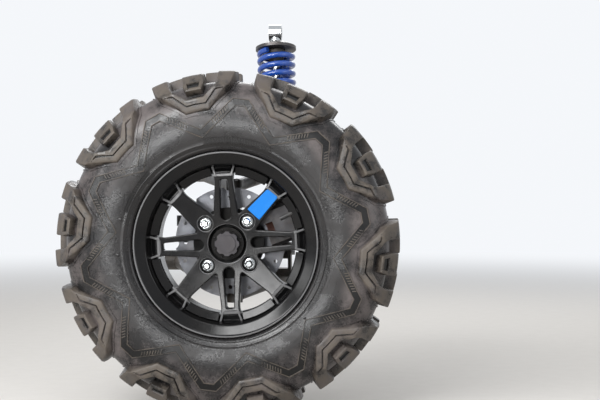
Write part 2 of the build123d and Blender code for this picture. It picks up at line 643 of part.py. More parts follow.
def cope(pivot, radius):
    """Flat-sided cutter that fits a tube's end to a sleeve."""
    outline = RegularPolygon(radius + SLEEVE_WALL + RUNNING_GAP, COPE_SIDES, major_radius=False)
    return Plane(origin=pivot, z_dir=(1, 0, 0)).location * extrude(outline, BUSH_LENGTH, both=True)


def arm(ball, away, pivots, tube, bush_radius):
    """Two tubes from a ball housing to the sleeves at the pivots."""
    centre = wheel_point(ball)
    start = centre - away * (tube - 4)
    tubes = [bar(start, pivot, tube) for pivot in pivots]
    housing = bar(centre - away * (2 * tube - 4), centre + away * 7, BALL_HOUSING_RADIUS)
    return housing.fuse(*tubes).cut(ball_cavity(centre, away), *[cope(pivot, bush_radius) for pivot in pivots])


def lower_arm():
    """A-arm with a cross tube and the coil-over's bracket."""
    body = arm(LOWER_BALL, kingpin_up(), LOWER_PIVOTS, LOWER_TUBE_RADIUS, LOWER_BUSH_RADIUS)
    cross_z = -LOWER_TUBE_RADIUS
    reach = SHOCK_FOOT_X - 5
    cross = bar((-reach, SHOCK_FOOT_Y, cross_z), (reach, SHOCK_FOOT_Y, cross_z), CROSS_TUBE_RADIUS)
    depth = 2 * SHOCK_EYE_RADIUS
    ear_centre = (SHOCK_EYE_WIDTH + EAR_THICKNESS) / 2 + SEAT_GAP
    ears = []
    for side in (1, -1):
        middle = SHOCK_FOOT + Vector(side * ear_centre, 0, 0)
        height = SHOCK_FOOT_Z - cross_z - 4
        ears.append(Pos(middle.X, middle.Y, middle.Z - height / 2) * Box(EAR_THICKNESS, depth, height))
        ears.append(bar_along_x(middle, EAR_THICKNESS / 2, SHOCK_EYE_RADIUS))
    saddle = Pos(SHOCK_FOOT_X, SHOCK_FOOT_Y, cross_z + 6) * Box(2 * ear_centre + EAR_THICKNESS, depth, 16)
    hole = bar_along_x(SHOCK_FOOT, SHOCK_EYE_WIDTH, SHOCK_BOLT_RADIUS + RUNNING_GAP)
    return body.fuse(cross, saddle, *ears).cut(hole)


def upper_arm():
    return arm(UPPER_BALL, -kingpin_up(), UPPER_PIVOTS, UPPER_TUBE_RADIUS, UPPER_BUSH_RADIUS)


def lower_sleeves():
    return sleeves(LOWER_PIVOTS, LOWER_BUSH_RADIUS)


def upper_sleeves():
    return sleeves(UPPER_PIVOTS, UPPER_BUSH_RADIUS)


def lower_bushes():
    return [bush(pivot, LOWER_BUSH_RADIUS) for pivot in LOWER_PIVOTS]


def upper_bushes():
    return [bush(pivot, UPPER_BUSH_RADIUS) for pivot in UPPER_PIVOTS]


# Coil-over
def along_shock(outline):
    """A turned solid on the coil-over's axis, from (radius, distance from the foot) points."""
    return turning(outline, SHOCK_FOOT, SHOCK_AXIS)


def with_eye(body, point):
    """Adds an eye at one end of the coil-over, bored for its bush."""
    eye = bar_along_x(point, SHOCK_EYE_WIDTH / 2, SHOCK_EYE_RADIUS)
    bore = bar_along_x(point, SHOCK_EYE_WIDTH, SHOCK_BUSH_RADIUS + RUNNING_GAP)
    return body.fuse(eye).cut(bore)


def shock_body():
    """Damper tube with a collar under the lower spring seat."""
    bore = SHOCK_ROD_RADIUS + RUNNING_GAP
    top = SPRING_START + BODY_OVERLAP
    neck = SHOCK_NECK_RADIUS
    body = along_shock([(0, 0), (neck, 0), (neck, SHOCK_EYE_RADIUS + 5),
                        (SHOCK_BODY_RADIUS, SHOCK_EYE_RADIUS + 19), (SHOCK_BODY_RADIUS, top - 4),
                        (SHOCK_BODY_RADIUS - 4, top), (bore, top), (bore, ROD_END_START), (0, ROD_END_START)])
    return with_eye(body, SHOCK_FOOT)


def shock_rod():
    start = ROD_END_START + SEAT_GAP
    neck = SHOCK_LENGTH - SHOCK_EYE_RADIUS - 3
    body = along_shock([(0, start), (SHOCK_ROD_RADIUS, start), (SHOCK_ROD_RADIUS, neck - 2),
                        (SHOCK_NECK_RADIUS, neck), (SHOCK_NECK_RADIUS, SHOCK_LENGTH), (0, SHOCK_LENGTH)])
    return with_eye(body, SHOCK_HEAD)


def spring_seats():
    """Threaded collar under the spring and the cup over it."""
    rim_radius = SPRING_RADIUS + SEAT_FLANGE
    low = SPRING_START
    bore = SHOCK_BODY_RADIUS + SEAT_GAP
    bottom = along_shock([(bore, low - 16), (rim_radius - 5, low - 16), (rim_radius, low - 8),
                          (rim_radius, low), (bore, low)])
    rod = SHOCK_ROD_RADIUS + SEAT_GAP
    high = SPRING_END
    top = along_shock([(rod, high), (rim_radius - 1, high), (rim_radius - 1, high + 6), (26, high + 14),
                       (rod, high + 14)])
    return [bottom, top]


def spring():
    """Coil of straight lengths on an eight-sided wire, between its seats."""
    height = SPRING_END - SPRING_START - 2 * WIRE_RADIUS - 2 * SEAT_GAP
    steps = round(height / SPRING_PITCH * SPRING_SIDES)
    points = []
    for i in range(steps + 1):
        angle = 2 * pi * i / SPRING_SIDES
        points.append((SPRING_RADIUS * cos(angle), SPRING_RADIUS * sin(angle), height * i / steps))
    path = Polyline(*points)
    section = Plane(origin=path @ 0, z_dir=path % 0) * RegularPolygon(WIRE_RADIUS, 8)
    coil = sweep(section, path, transition=Transition.RIGHT)
    start = SHOCK_FOOT + SHOCK_AXIS * (SPRING_START + WIRE_RADIUS + SEAT_GAP)
    return Plane(origin=start, z_dir=SHOCK_AXIS).location * coil


def shock_bushes():
    bore = SHOCK_BOLT_RADIUS + RUNNING_GAP
    half = SHOCK_EYE_WIDTH / 2
    return [bar_along_x(eye, half, SHOCK_BUSH_RADIUS, bore) for eye in (SHOCK_FOOT, SHOCK_HEAD)]


def shock_bolt():
    """Bolt through the lower bracket and the coil-over's foot."""
    half = SHOCK_EYE_WIDTH / 2 + EAR_THICKNESS + 2 * SEAT_GAP
    grip = bar_along_x(SHOCK_FOOT, half, SHOCK_BOLT_RADIUS)
    head = extrude(RegularPolygon(9, 6), 7)
    places = [Plane(origin=SHOCK_FOOT + Vector(side * half, 0, 0), z_dir=(side, 0, 0)) for side in (1, -1)]
    return grip.fuse(*[place.location * head for place in places])


# Half-shaft, along the wheel's axis in the straight-ahead pose
def half_shaft():
    """Shaft with the outer joint's ball at its outboard end."""
    shaft_end = 20 - INNER_JOINT_Y
    shaft = turning([(0, KINGPIN_OUT), (SHAFT_RADIUS, KINGPIN_OUT), (SHAFT_RADIUS, shaft_end), (0, shaft_end)])
    return shaft + Pos(0, 0, KINGPIN_OUT) * Sphere(JOINT_BALL_RADIUS)


def inner_joint():
    """Plunging joint's cup, with the splined stub that goes into the gearbox."""
    front = JOINT_CUP_FRONT - INNER_JOINT_Y
    back = -JOINT_CUP_BACK - INNER_JOINT_Y
    stub = -STUB_START - INNER_JOINT_Y
    tip = stub - STUB_LENGTH
    return turning([(0, front), (INNER_JOINT_RADIUS, front), (INNER_JOINT_RADIUS, back),
                    (INNER_JOINT_RADIUS - 10, stub), (STUB_RADIUS, stub), (STUB_RADIUS, tip),
                    (STUB_RADIUS - 1, tip - 2), (0, tip - 2)])


def boot_outline(wide_end, narrow_end, wide):
    """(radius, out) outline of a folded cone, from its wide end to its narrow end."""
    run = (narrow_end - wide_end) / (BOOT_FOLDS + 1)
    narrow = SHAFT_RADIUS + BOOT_WALL + SEAT_GAP
    outer = [(wide - 4, wide_end)]
    for i in range(BOOT_FOLDS):
        crest = wide + (narrow - wide) * i / BOOT_FOLDS
        valley = narrow if i == BOOT_FOLDS - 1 else max(crest - BOOT_FOLD_DEPTH, narrow)
        outer.append((crest, wide_end + run * (i + 0.5)))
        outer.append((valley, wide_end + run * (i + 1)))
    outer.append((narrow, narrow_end))
    return outer + [(r - BOOT_WALL, w) for r, w in reversed(outer)]


def outer_boot():
    start = JOINT_MOUTH_OUT - SEAT_GAP
    return turning(boot_outline(start, start - BOOT_LENGTH, JOINT_BELL_RADIUS))


def inner_boot():
    start = 18 - INNER_JOINT_Y + SEAT_GAP
    return turning(boot_outline(start, start + BOOT_LENGTH, INNER_JOINT_RADIUS))


# Tie rod
def tie_rod():
    start = wheel_point(TIE_BALL)
    return bar(start + Vector(0, 34, 0), start + Vector(0, TIE_LENGTH - 30, 0), TIE_RADIUS)


def rod_end():
    """Socket round the tie rod's outer ball, with the shank that screws into the tube."""
    centre = wheel_point(TIE_BALL)
    up = kingpin_up()
    housing = bar(centre - up * 7, centre + up * 13, BALL_RADIUS + 5)
    shank = bar(centre, centre + Vector(0, 34, 0), TIE_RADIUS - 1.5)
    return housing.fuse(shank).cut(ball_cavity(centre, -up))


def inner_ball_joint():
    """Inner ball's housing with the stud that screws into the rack."""
    end = wheel_point(TIE_BALL) + Vector(0, TIE_LENGTH, 0)
    outline = [(0, -30), (TIE_RADIUS + 2, -30), (TIE_RADIUS + 7, -22), (TIE_RADIUS + 7, 8), (TIE_RADIUS, 14),
               (TIE_RADIUS, 20), (6, 20), (6, 48), (0, 48)]
    return turning(outline, end, (0, 1, 0))


WHEEL_NODES = [tyre, rim, valve_stem, wheel_nuts, spoke_plate, centre_cap, hub, brake_disc, disc_bolts, cv_bell,
               knuckle, wheel_bearing, ball_studs, tie_rod_stud, caliper, brake_pads, half_shaft, inner_joint,
               outer_boot, inner_boot]
VEHICLE_NODES = [lower_arm, lower_sleeves, lower_bushes, upper_arm, upper_sleeves, upper_bushes, ball_boots,
                 shock_body, shock_rod, spring_seats, spring, shock_bushes, shock_bolt, tie_rod, rod_end,
                 inner_ball_joint]

for make in WHEEL_NODES + VEHICLE_NODES:
    made = make()
    shapes = made if isinstance(made, list) else [made]
    solids = [solid for shape in shapes for solid in shape.solids()]
    if make in WHEEL_NODES:
        solids = [at_wheel(solid) for solid in solids]
    export_step(Compound(children=solids), f"parts/{make.__name__}.step")
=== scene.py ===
"""Dresses the front wheel and suspension corner of a side-by-side utility vehicle.

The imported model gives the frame. The tyre, the rim, the spring, the boots and small fasteners are modelled
here, and every piece that keeps its own solid gets a worn, dusty finish. Lengths are in metres unless a
comment or docstring says millimetres.
"""
import json
import math

import bmesh
import bpy
import numpy as np
from bpy.props import FloatProperty, FloatVectorProperty, PointerProperty
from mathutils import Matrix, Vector, geometry


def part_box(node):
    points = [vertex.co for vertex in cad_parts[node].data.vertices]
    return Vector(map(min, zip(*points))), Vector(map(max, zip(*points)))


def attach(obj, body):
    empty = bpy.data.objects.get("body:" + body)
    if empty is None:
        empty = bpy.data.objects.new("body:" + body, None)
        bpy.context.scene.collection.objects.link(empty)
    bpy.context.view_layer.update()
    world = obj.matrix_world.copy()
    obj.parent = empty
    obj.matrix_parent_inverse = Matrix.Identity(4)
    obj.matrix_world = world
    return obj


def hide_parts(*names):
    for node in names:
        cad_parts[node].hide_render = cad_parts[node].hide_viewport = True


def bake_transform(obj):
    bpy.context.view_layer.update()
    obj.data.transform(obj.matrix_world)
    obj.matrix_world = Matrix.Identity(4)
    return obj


bl_info = {
    "name": "Utility Vehicle Wheel Corner",
    "version": (1, 0, 0),
    "blender": (4, 5, 0),
    "location": "3D View > Sidebar > Wheel Corner",
    "description": "Models and finishes the wheel, brake, arms and coil-over around the packed frame",
    "category": "Object",
}

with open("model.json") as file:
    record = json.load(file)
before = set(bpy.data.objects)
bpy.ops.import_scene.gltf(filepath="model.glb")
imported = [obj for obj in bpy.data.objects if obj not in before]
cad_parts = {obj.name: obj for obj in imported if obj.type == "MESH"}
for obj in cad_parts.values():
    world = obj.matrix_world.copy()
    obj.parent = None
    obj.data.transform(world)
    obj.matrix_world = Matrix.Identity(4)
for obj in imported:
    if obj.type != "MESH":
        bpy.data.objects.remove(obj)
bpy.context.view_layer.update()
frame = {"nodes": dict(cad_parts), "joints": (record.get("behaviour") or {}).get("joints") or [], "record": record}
JOINTS = {joint["name"]: joint for joint in frame["joints"]}
MOUNTS = {mount["name"]: mount for mount in frame["record"]["mounts"]}
MM = 0.001


def middle(node):
    """Middle of a CAD node's box."""
    low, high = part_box(node)
    return (low + high) / 2


# Places taken from the frame
WHEEL_CENTRE = Vector(JOINTS["wheel_spin"]["pos_m"])
KNUCKLE_CENTRE = Vector(JOINTS["steer"]["pos_m"])
KINGPIN = Vector(JOINTS["steer"]["axis"]).normalized()
SHOCK_FOOT = middle("shock_bolt")
SHOCK_HEAD = Vector(MOUNTS["shock_head"]["pos_m"])
SHOCK_AXIS = (SHOCK_HEAD - SHOCK_FOOT).normalized()
TYRE_LOW, TYRE_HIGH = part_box("tyre")
GROUND_Z = WHEEL_CENTRE.z - (TYRE_HIGH.x - TYRE_LOW.x) / 2

# Tread pattern: lugs round each shoulder, and the angles in degrees of the first lug and of the zigzag
# band's first apex
LUG_COUNT = 10
LUG_PITCH = 360 / LUG_COUNT
LUG_FIRST = 29.3
BAND_FIRST = 11.5
# Radius on which distances round the tyre are laid out
LAYOUT_RADIUS = 0.3

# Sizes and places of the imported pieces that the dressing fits, in millimetres, turns and degrees
BALL_HEIGHT = 95
LOWER_TUBE, LOWER_SLEEVE, LOWER_SPREAD = 14, 19, 160
UPPER_TUBE, UPPER_SLEEVE = 12, 17
UPPER_FRONT, UPPER_REAR, UPPER_Y, UPPER_Z = 50, -110, -40, 190
BALL_HOUSING = 17
CROSS_TUBE, CROSS_Y, CROSS_Z = 10, -190, -14
SPRING_RADIUS, WIRE_RADIUS = 34, 6
SPRING_START, SPRING_HEAD_DROP, SPRING_TURNS = 205, 37.6, 11.3
ROD_RADIUS = 7
BELL_RADIUS, SHAFT_RADIUS, INNER_CUP_RADIUS = 36, 12, 34
CALIPER_ANGLE = 20


# Arrays of points and faces
def sides(outline):
    """Each point of a closed outline with the next."""
    return zip(outline, outline[1:] + outline[:1])


def corners(outline):
    """Each point of a closed outline between its neighbours."""
    return zip(outline[-1:] + outline, outline, outline[1:] + outline[:1])


class Shape:
    """Points, faces and one mask value for each point, gathered from several islands."""

    def __init__(self):
        self.points = []
        self.faces = []
        self.mask = []
        self.count = 0

    def add(self, points, faces, mask=0.0):
        """Takes in one island, whose faces count from its own first point."""
        points = np.asarray(points, float)
        self.faces += [tuple(self.count + i for i in face) for face in faces]
        self.points.append(points)
        self.mask.append(np.broadcast_to(np.asarray(mask, float), (len(points),)))
        self.count += len(points)


def make_piece(name, shape, material, body, smooth_angle=38):
    """A mesh object from a shape, smooth up to an angle in degrees, riding on a body if one is given."""
    if not shape.count:
        raise RuntimeError(name + " has no points")
    mesh = bpy.data.meshes.new(name)
    mesh.from_pydata(np.vstack(shape.points).tolist(), [], shape.faces)
    mesh.validate()
    # the tyre marks its worn and scuffed places here, and the rim marks its painted highlights
    attribute = mesh.attributes.new("wear_and_highlight", "FLOAT", "POINT")
    attribute.data.foreach_set("value", np.concatenate(shape.mask).astype(np.float32))
    working = bmesh.new()
    working.from_mesh(mesh)
    bmesh.ops.recalc_face_normals(working, faces=working.faces)
    working.to_mesh(mesh)
    working.free()
    mesh.polygons.foreach_set("use_smooth", [True] * len(mesh.polygons))
    mesh.set_sharp_from_angle(angle=math.radians(smooth_angle))
    mesh.materials.append(material)
    piece = bpy.data.objects.new(name, mesh)
    bpy.context.scene.collection.objects.link(piece)
    if body:
        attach(piece, body)
    return piece


def across(axis):
    """Two unit vectors square to an axis and to each other."""
    axis = np.asarray(axis, float)
    first = np.cross(axis, (0.31, 0.52, 0.79))
    first /= np.linalg.norm(first)
    return first, np.cross(axis, first)


def tube_faces(rings, size, closed=False):
    """Faces between rings of points that follow each other: both ends capped, or the last ring joined on."""
    faces = []
    for i in range(rings if closed else rings - 1):
        j = (i + 1) % rings
        for k in range(size):
            m = (k + 1) % size
            faces.append((i * size + k, i * size + m, j * size + m, j * size + k))
    if not closed:
        faces.append(tuple(reversed(range(size))))
        faces.append(tuple(range((rings - 1) * size, rings * size)))
    return faces


def turned(profile, centre, axis, segments, closed=False):
    """(radius, along) profile in millimetres turned round an axis through a centre: (points, faces).

    A closed profile makes a ring, whose last row joins the first.
    """
    axis = np.asarray(Vector(axis).normalized())
    first, second = across(axis)
    profile = np.asarray(profile, float) * MM
    angles = np.linspace(0, 2 * math.pi, segments, endpoint=False)
    ring = np.cos(angles)[:, None] * first + np.sin(angles)[:, None] * second
    points = [np.asarray(centre) + radius * ring + along * axis for radius, along in profile]
    return np.vstack(points), tube_faces(len(profile), segments, closed)


def bolt(shape, centre, axis, across_flats, height):
    """Hexagon head with a chamfered top and a raised mark, on a washer; sizes in millimetres."""
    radius = across_flats / math.sqrt(3)
    washer_radius, washer = radius * 1.25, 1.2
    top = washer + height
    plate = [(radius * 1.18, -0.5), (washer_radius, 0), (washer_radius, 0.9), (radius * 1.18, washer)]
    head = [(radius, washer - 0.3), (radius, washer + height * 0.82), (radius * 0.86, top)]
    mark = [(radius * 0.55, top - 0.6), (radius * 0.55, top + 0.25), (radius * 0.48, top + 0.45)]
    for profile, segments in ((plate, 32), (head, 6), (mark, 24)):
        shape.add(*turned(profile, centre, axis, segments))


def tube_along(path, radius, segments):
    """A round tube along points, with its section carried along without twist."""
    path = np.asarray(path, float)
    tangents = np.gradient(path, axis=0)
    tangents /= np.linalg.norm(tangents, axis=1)[:, None]
    side = across(tangents[0])[0]
    angles = np.linspace(0, 2 * math.pi, segments, endpoint=False)
    points = []
    for point, tangent, size in zip(path, tangents, np.broadcast_to(radius, (len(path),))):
        side = side - (side @ tangent) * tangent
        side /= np.linalg.norm(side)
        up = np.cross(tangent, side)
        points.append(point + size * (np.cos(angles)[:, None] * side + np.sin(angles)[:, None] * up))
    return np.vstack(points), tube_faces(len(path), segments)


def lengths_along(points):
    """Distance of each point from the first, along the line through them."""
    return np.concatenate([[0], np.cumsum(np.linalg.norm(np.diff(points, axis=0), axis=1))])


def smooth_line(points, step):
    """A Catmull-Rom line through 2-D points, sampled at about this step."""
    pts = np.asarray(points, float)
    padded = np.vstack([2 * pts[0] - pts[1], pts, 2 * pts[-1] - pts[-2]])
    out = []
    for a, b, c, d in zip(padded, padded[1:], padded[2:], padded[3:]):
        count = max(1, round(np.linalg.norm(c - b) / step))
        t = np.linspace(0, 1, count, endpoint=False)[:, None]
        out.append(0.5 * (2 * b + (c - a) * t + (2 * a - 5 * b + 4 * c - d) * t ** 2
                          + (3 * b - a - 3 * c + d) * t ** 3))
    out.append(pts[-1:])
    return np.vstack(out)


# Materials
# (cells in a metre, detail, roughness) of each noise
TYRE_CLOUDS, TYRE_GRIT, TYRE_SMEAR = (11, 7, 0.62), (320, 4, 0.7), (38, 6, 0.7)
DUST_CLOUDS, DUST_SPECK, SMUDGES = (14, 6, 0.62), (900, 3, 0.7), (60, 4, 0.6)
DISC_RINGS, FLOOR_GRAIN = (1400, 2, 0.8), (30, 5, 0.6)


def add(tree, kind, inputs=None, **settings):
    """A shader node with its settings, and inputs that are values or other nodes' outputs."""
    node = tree.nodes.new("ShaderNode" + kind)
    for key, value in settings.items():
        setattr(node, key, value)
    for key, value in (inputs or {}).items():
        if isinstance(value, bpy.types.NodeSocket):
            tree.links.new(value, node.inputs[key])
        else:
            node.inputs[key].default_value = value
    return node


def place(tree, origin=(0, 0, 0), stretch=(1, 1, 1)):
    """Object coordinates measured from an origin, and stretched."""
    coords = add(tree, "TexCoord").outputs["Object"]
    moved = add(tree, "VectorMath", {0: coords, 1: tuple(origin)}, operation="SUBTRACT")
    return add(tree, "VectorMath", {0: moved.outputs[0], 1: stretch}, operation="MULTIPLY").outputs[0]


def noise(tree, coords, scale, detail, rough):
    """A cloudy pattern with this many cells in a metre."""
    inputs = {"Vector": coords, "Scale": scale, "Detail": detail, "Roughness": rough}
    return add(tree, "TexNoise", inputs).outputs["Fac"]


def steps(tree, value, low, high, to_low=0.0, to_high=1.0):
    """Spreads a range of a value over another range, with soft limits."""
    inputs = {"Value": value, "From Min": low, "From Max": high, "To Min": to_low, "To Max": to_high}
    return add(tree, "MapRange", inputs, interpolation_type="SMOOTHSTEP").outputs["Result"]


def maths(tree, operation, first, second=0.0, clamp=False):
    """The result of an operation on two values or outputs."""
    return add(tree, "Math", {0: first, 1: second}, operation=operation, use_clamp=clamp).outputs[0]


def mix(tree, share, first, second):
    """A colour between two, which are colours or outputs."""
    node = add(tree, "Mix", {0: share}, data_type="RGBA")
    for socket, value in ((node.inputs[6], first), (node.inputs[7], second)):
        if isinstance(value, bpy.types.NodeSocket):
            tree.links.new(value, socket)
        else:
            socket.default_value = (*value, 1)
    return node.outputs[2]


def raised(tree, height, distance, strength, normal=None):
    """A bump of this depth, over another bump if one is given."""
    inputs = {"Height": height, "Distance": distance, "Strength": strength}
    if normal is not None:
        inputs["Normal"] = normal
    return add(tree, "Bump", inputs).outputs["Normal"]


def start_material(name, **sockets):
    """A material with its principled shader, and plain values set on the shader's own sockets."""
    material = bpy.data.materials.new(name)
    material.use_nodes = True
    tree = material.node_tree
    shader = tree.nodes["Principled BSDF"]
    for key, value in sockets.items():
        socket = shader.inputs[key.replace("_", " ").title().replace("Ior", "IOR")]
        socket.default_value = (*value, 1) if isinstance(value, tuple) else value
    return material, tree, shader


def shade(color, factor):
    """A colour made lighter or darker."""
    return tuple(min(channel * factor, 1) for channel in color)


def from_axle(tree):
    """Distance from the wheel's axis."""
    coords = place(tree, WHEEL_CENTRE, (1, 0, 1))
    return add(tree, "VectorMath", {0: coords}, operation="LENGTH").outputs["Value"]


def dot_product(tree, first, second):
    """How far one direction lies along another."""
    return add(tree, "VectorMath", {0: first, 1: second}, operation="DOT_PRODUCT").outputs["Value"]


def wear_and_highlight_mask(tree):
    """The value that each point of a piece's mesh carries for its worn places and its painted highlights."""
    return add(tree, "Attribute", attribute_name="wear_and_highlight").outputs["Fac"]


def rubber_tread(settings):
    """Dusty tyre rubber: brown dust in clouds, pale worn lug faces, painted shade where it is concave and a
    painted lit shoulder.
    """
    material, tree, shader = start_material("tyre_rubber", specular_ior_level=0.4)
    coords = place(tree, WHEEL_CENTRE)
    clouds = noise(tree, coords, *TYRE_CLOUDS)
    grit = noise(tree, coords, *TYRE_GRIT)
    smear = noise(tree, coords, *TYRE_SMEAR)
    dust = maths(tree, "ADD", clouds, maths(tree, "MULTIPLY", grit, 0.22))
    dust = steps(tree, maths(tree, "ADD", dust, maths(tree, "MULTIPLY", smear, 0.42)), 0.7, 1.02)
    # painted light: the dust colour is painted far darker inside the wall radius and far lighter past the shoulder
    # radius, standing in for the lit band where the side wall rounds outward
    wall, shoulder = 0.218, 0.246
    dusty_with_painted_light = mix(tree, steps(tree, from_axle(tree), wall, shoulder),
                  shade(settings.rubber_dusty, 0.3), shade(settings.rubber_dusty, 2.6))
    body = mix(tree, dust, tuple(settings.rubber_clean), dusty_with_painted_light)
    # painted shade: the clean colour, darkened, fills the mesh's concave places, such as the lugs' feet and
    # grooves
    hollow_painted_shade = steps(tree, add(tree, "NewGeometry").outputs["Pointiness"], 0.455, 0.5)
    body = mix(tree, hollow_painted_shade, shade(settings.rubber_clean, 0.35), body)
    worn = maths(tree, "MULTIPLY", wear_and_highlight_mask(tree), steps(tree, smear, 0.34, 0.62, 0.12, 0.85))
    tree.links.new(mix(tree, worn, body, tuple(settings.lug_face)), shader.inputs["Base Color"])
    rough = steps(tree, maths(tree, "ADD", dust, worn), 0.0, 1.4, 0.22, 0.58)
    tree.links.new(rough, shader.inputs["Roughness"])
    fine = raised(tree, grit, 0.0004, 0.6)
    tree.links.new(raised(tree, smear, 0.0015, 0.4, fine), shader.inputs["Normal"])
    return material


def worn_finish(name, dust_color, color, roughness, dust, grain, depth=0.00008, edge=None, pattern=None,
                **sockets):
    """A finish with fine grain, dust in clouds, smudged gloss and, if asked, worn edges or a cut pattern.

    grain is in cells in a metre and depth in metres, edge is (colour, width, share), and pattern is a
    function of the tree that gives (height, depth). The edge colour is also painted as highlights where a
    piece's mesh marks them.
    """
    material, tree, shader = start_material("worn_" + name, **sockets)
    coords = place(tree)
    clouds = noise(tree, coords, *DUST_CLOUDS)
    speck = noise(tree, coords, *DUST_SPECK)
    fine = noise(tree, coords, grain, 3, 0.6)
    mask = steps(tree, maths(tree, "ADD", clouds, maths(tree, "MULTIPLY", speck, 0.3)), 0.5, 0.95)
    mask = maths(tree, "MULTIPLY", mask, dust)
    mottled = mix(tree, fine, shade(color, 0.85), shade(color, 1.15))
    if edge:
        edge_and_highlight_color, width, share = edge
        soft = add(tree, "Bevel", {"Radius": width}, samples=4).outputs["Normal"]
        true = add(tree, "NewGeometry").outputs["Normal"]
        turn = dot_product(tree, soft, true)
        rubbed_and_highlight = maths(tree, "MULTIPLY", steps(tree, turn, 0.99, 0.9), steps(tree, clouds, 0.35, 0.6))
        rubbed_and_highlight = maths(tree, "MULTIPLY", rubbed_and_highlight, share)
        # painted highlights: the edge colour also goes wherever the mesh's wear_and_highlight value marks them
        rubbed_and_highlight = maths(tree, "MAXIMUM", rubbed_and_highlight, wear_and_highlight_mask(tree))
        mottled = mix(tree, rubbed_and_highlight, mottled, edge_and_highlight_color)
    tree.links.new(mix(tree, mask, mottled, dust_color), shader.inputs["Base Color"])
    smudge = noise(tree, coords, *SMUDGES)
    smudge = steps(tree, smudge, 0.3, 0.7, roughness * 0.85, min(roughness * 1.2, 1))
    rough = maths(tree, "ADD", smudge, maths(tree, "MULTIPLY", mask, 0.35), clamp=True)
    tree.links.new(rough, shader.inputs["Roughness"])
    normal = raised(tree, fine, depth, 0.6, soft if edge else None)
    if pattern:
        height, cut = pattern(tree)
        normal = raised(tree, height, cut, 0.8, normal)
    tree.links.new(normal, shader.inputs["Normal"])
    return material


def finish(slot):
    """The worn finish of a slot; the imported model's own plain material has the slot's bare name."""
    return bpy.data.materials["worn_" + slot]


def turned_rings(tree):
    """Fine rings round the wheel's axis, as a ground disc has."""
    depth = 0.00006
    across_rings = add(tree, "CombineXYZ", {"X": from_axle(tree)}).outputs[0]
    return noise(tree, across_rings, *DISC_RINGS), depth


def threads(tree):
    """Rings along the coil-over, as its adjuster thread has."""
    pitch, start, depth = 0.002, 0.118, 0.0004
    along = dot_product(tree, place(tree, SHOCK_FOOT), tuple(SHOCK_AXIS))
    wave = maths(tree, "SINE", maths(tree, "MULTIPLY", along, 2 * math.pi / pitch))
    above = steps(tree, along, start, start + 2 * pitch)
    return maths(tree, "MULTIPLY", wave, above), depth


def splines(tree):
    """Ridges along the half-shaft's axis, as its splined stub has."""
    count, start, depth = 22, 0.474, 0.0008
    split = add(tree, "SeparateXYZ", {0: place(tree, WHEEL_CENTRE)}).outputs
    angle = maths(tree, "ARCTAN2", split["Z"], split["X"])
    wave = maths(tree, "SINE", maths(tree, "MULTIPLY", angle, count))
    stub = steps(tree, split["Y"], start, start + 0.002)
    return maths(tree, "MULTIPLY", wave, stub), depth


def all_finishes(paint):
    """One finish for each slot but the tyre's, and one more for the hub."""
    black = (0.02, 0.02, 0.022)
    scraped = (0.2, 0.19, 0.18)
    recipes = {
        # the pale edge colour is worn paint on the rim's edges at a small share, and the painted highlight on its
        # lip, spoke steps, ears, bore and stud pockets
        "rim_black": dict(color=tuple(paint.rim_paint), roughness=0.16, dust=0.02, grain=1500,
                          depth=0.000004, edge=((0.42, 0.42, 0.43), 0.0012, 0.05), specular_ior_level=0.21),
        "hub_black": dict(color=(0.003, 0.003, 0.0032), roughness=0.45, dust=0.03, grain=900, depth=0.00004,
                          specular_ior_level=0.1),
        "zinc_steel": dict(color=(0.42, 0.43, 0.45), roughness=0.38, dust=0.3, grain=700, metallic=0.85),
        "chrome": dict(color=(0.5, 0.52, 0.53), roughness=0.16, dust=0.08, grain=900, depth=0.00002,
                       metallic=1.0),
        "cap_grey": dict(color=(0.024, 0.023, 0.03), roughness=0.4, dust=0.12, grain=900, depth=0.0001,
                         specular_ior_level=0.3),
        "blue_plate": dict(color=tuple(paint.plate_blue), roughness=0.4, dust=0.05, grain=900, depth=0.00002,
                           edge=((0.005, 0.08, 0.3), 0.001, 1), specular_ior_level=0.2),
        "black_rubber": dict(color=(0.02, 0.02, 0.021), roughness=0.6, dust=0.35, grain=500, depth=0.0001),
        "cast_knuckle": dict(color=(0.05, 0.05, 0.053), roughness=0.55, dust=0.5, grain=420, depth=0.0006,
                             edge=(scraped, 0.0015, 1), metallic=0.4),
        "disc_steel": dict(color=(0.1, 0.104, 0.115), roughness=0.4, dust=0.15, grain=800,
                           pattern=turned_rings, metallic=0.9),
        "caliper_metal": dict(color=(0.05, 0.05, 0.055), roughness=0.5, dust=0.35, grain=520, depth=0.0004,
                              edge=((0.35, 0.34, 0.33), 0.0012, 1), metallic=0.6),
        "pad_lining": dict(color=(0.09, 0.03, 0.02), roughness=0.8, dust=0.2, grain=900, depth=0.0003),
        "arm_paint": dict(color=tuple(paint.arm_paint), roughness=0.38, dust=0.45, grain=600, depth=0.00015,
                          edge=((0.1, 0.09, 0.085), 0.0012, 1)),
        "bush_plastic": dict(color=black, roughness=0.5, dust=0.3, grain=700),
        "damper_body": dict(color=black, roughness=0.25, dust=0.25, grain=900, depth=0.00004,
                            pattern=threads, metallic=0.3),
        "spring_blue": dict(color=tuple(paint.spring_blue), roughness=0.22, dust=0.12, grain=700,
                            depth=0.00005, coat_weight=0.5),
        "seat_plastic": dict(color=(0.06, 0.06, 0.065), roughness=0.35, dust=0.25, grain=800, metallic=0.7),
        "shaft_steel": dict(color=(0.05, 0.049, 0.048), roughness=0.6, dust=0.6, grain=600, depth=0.0001,
                            edge=(scraped, 0.001, 1), pattern=splines, metallic=0.3,
                            specular_ior_level=0.3),
    }
    return {name: worn_finish(name, tuple(paint.dust), **recipe) for name, recipe in recipes.items()}


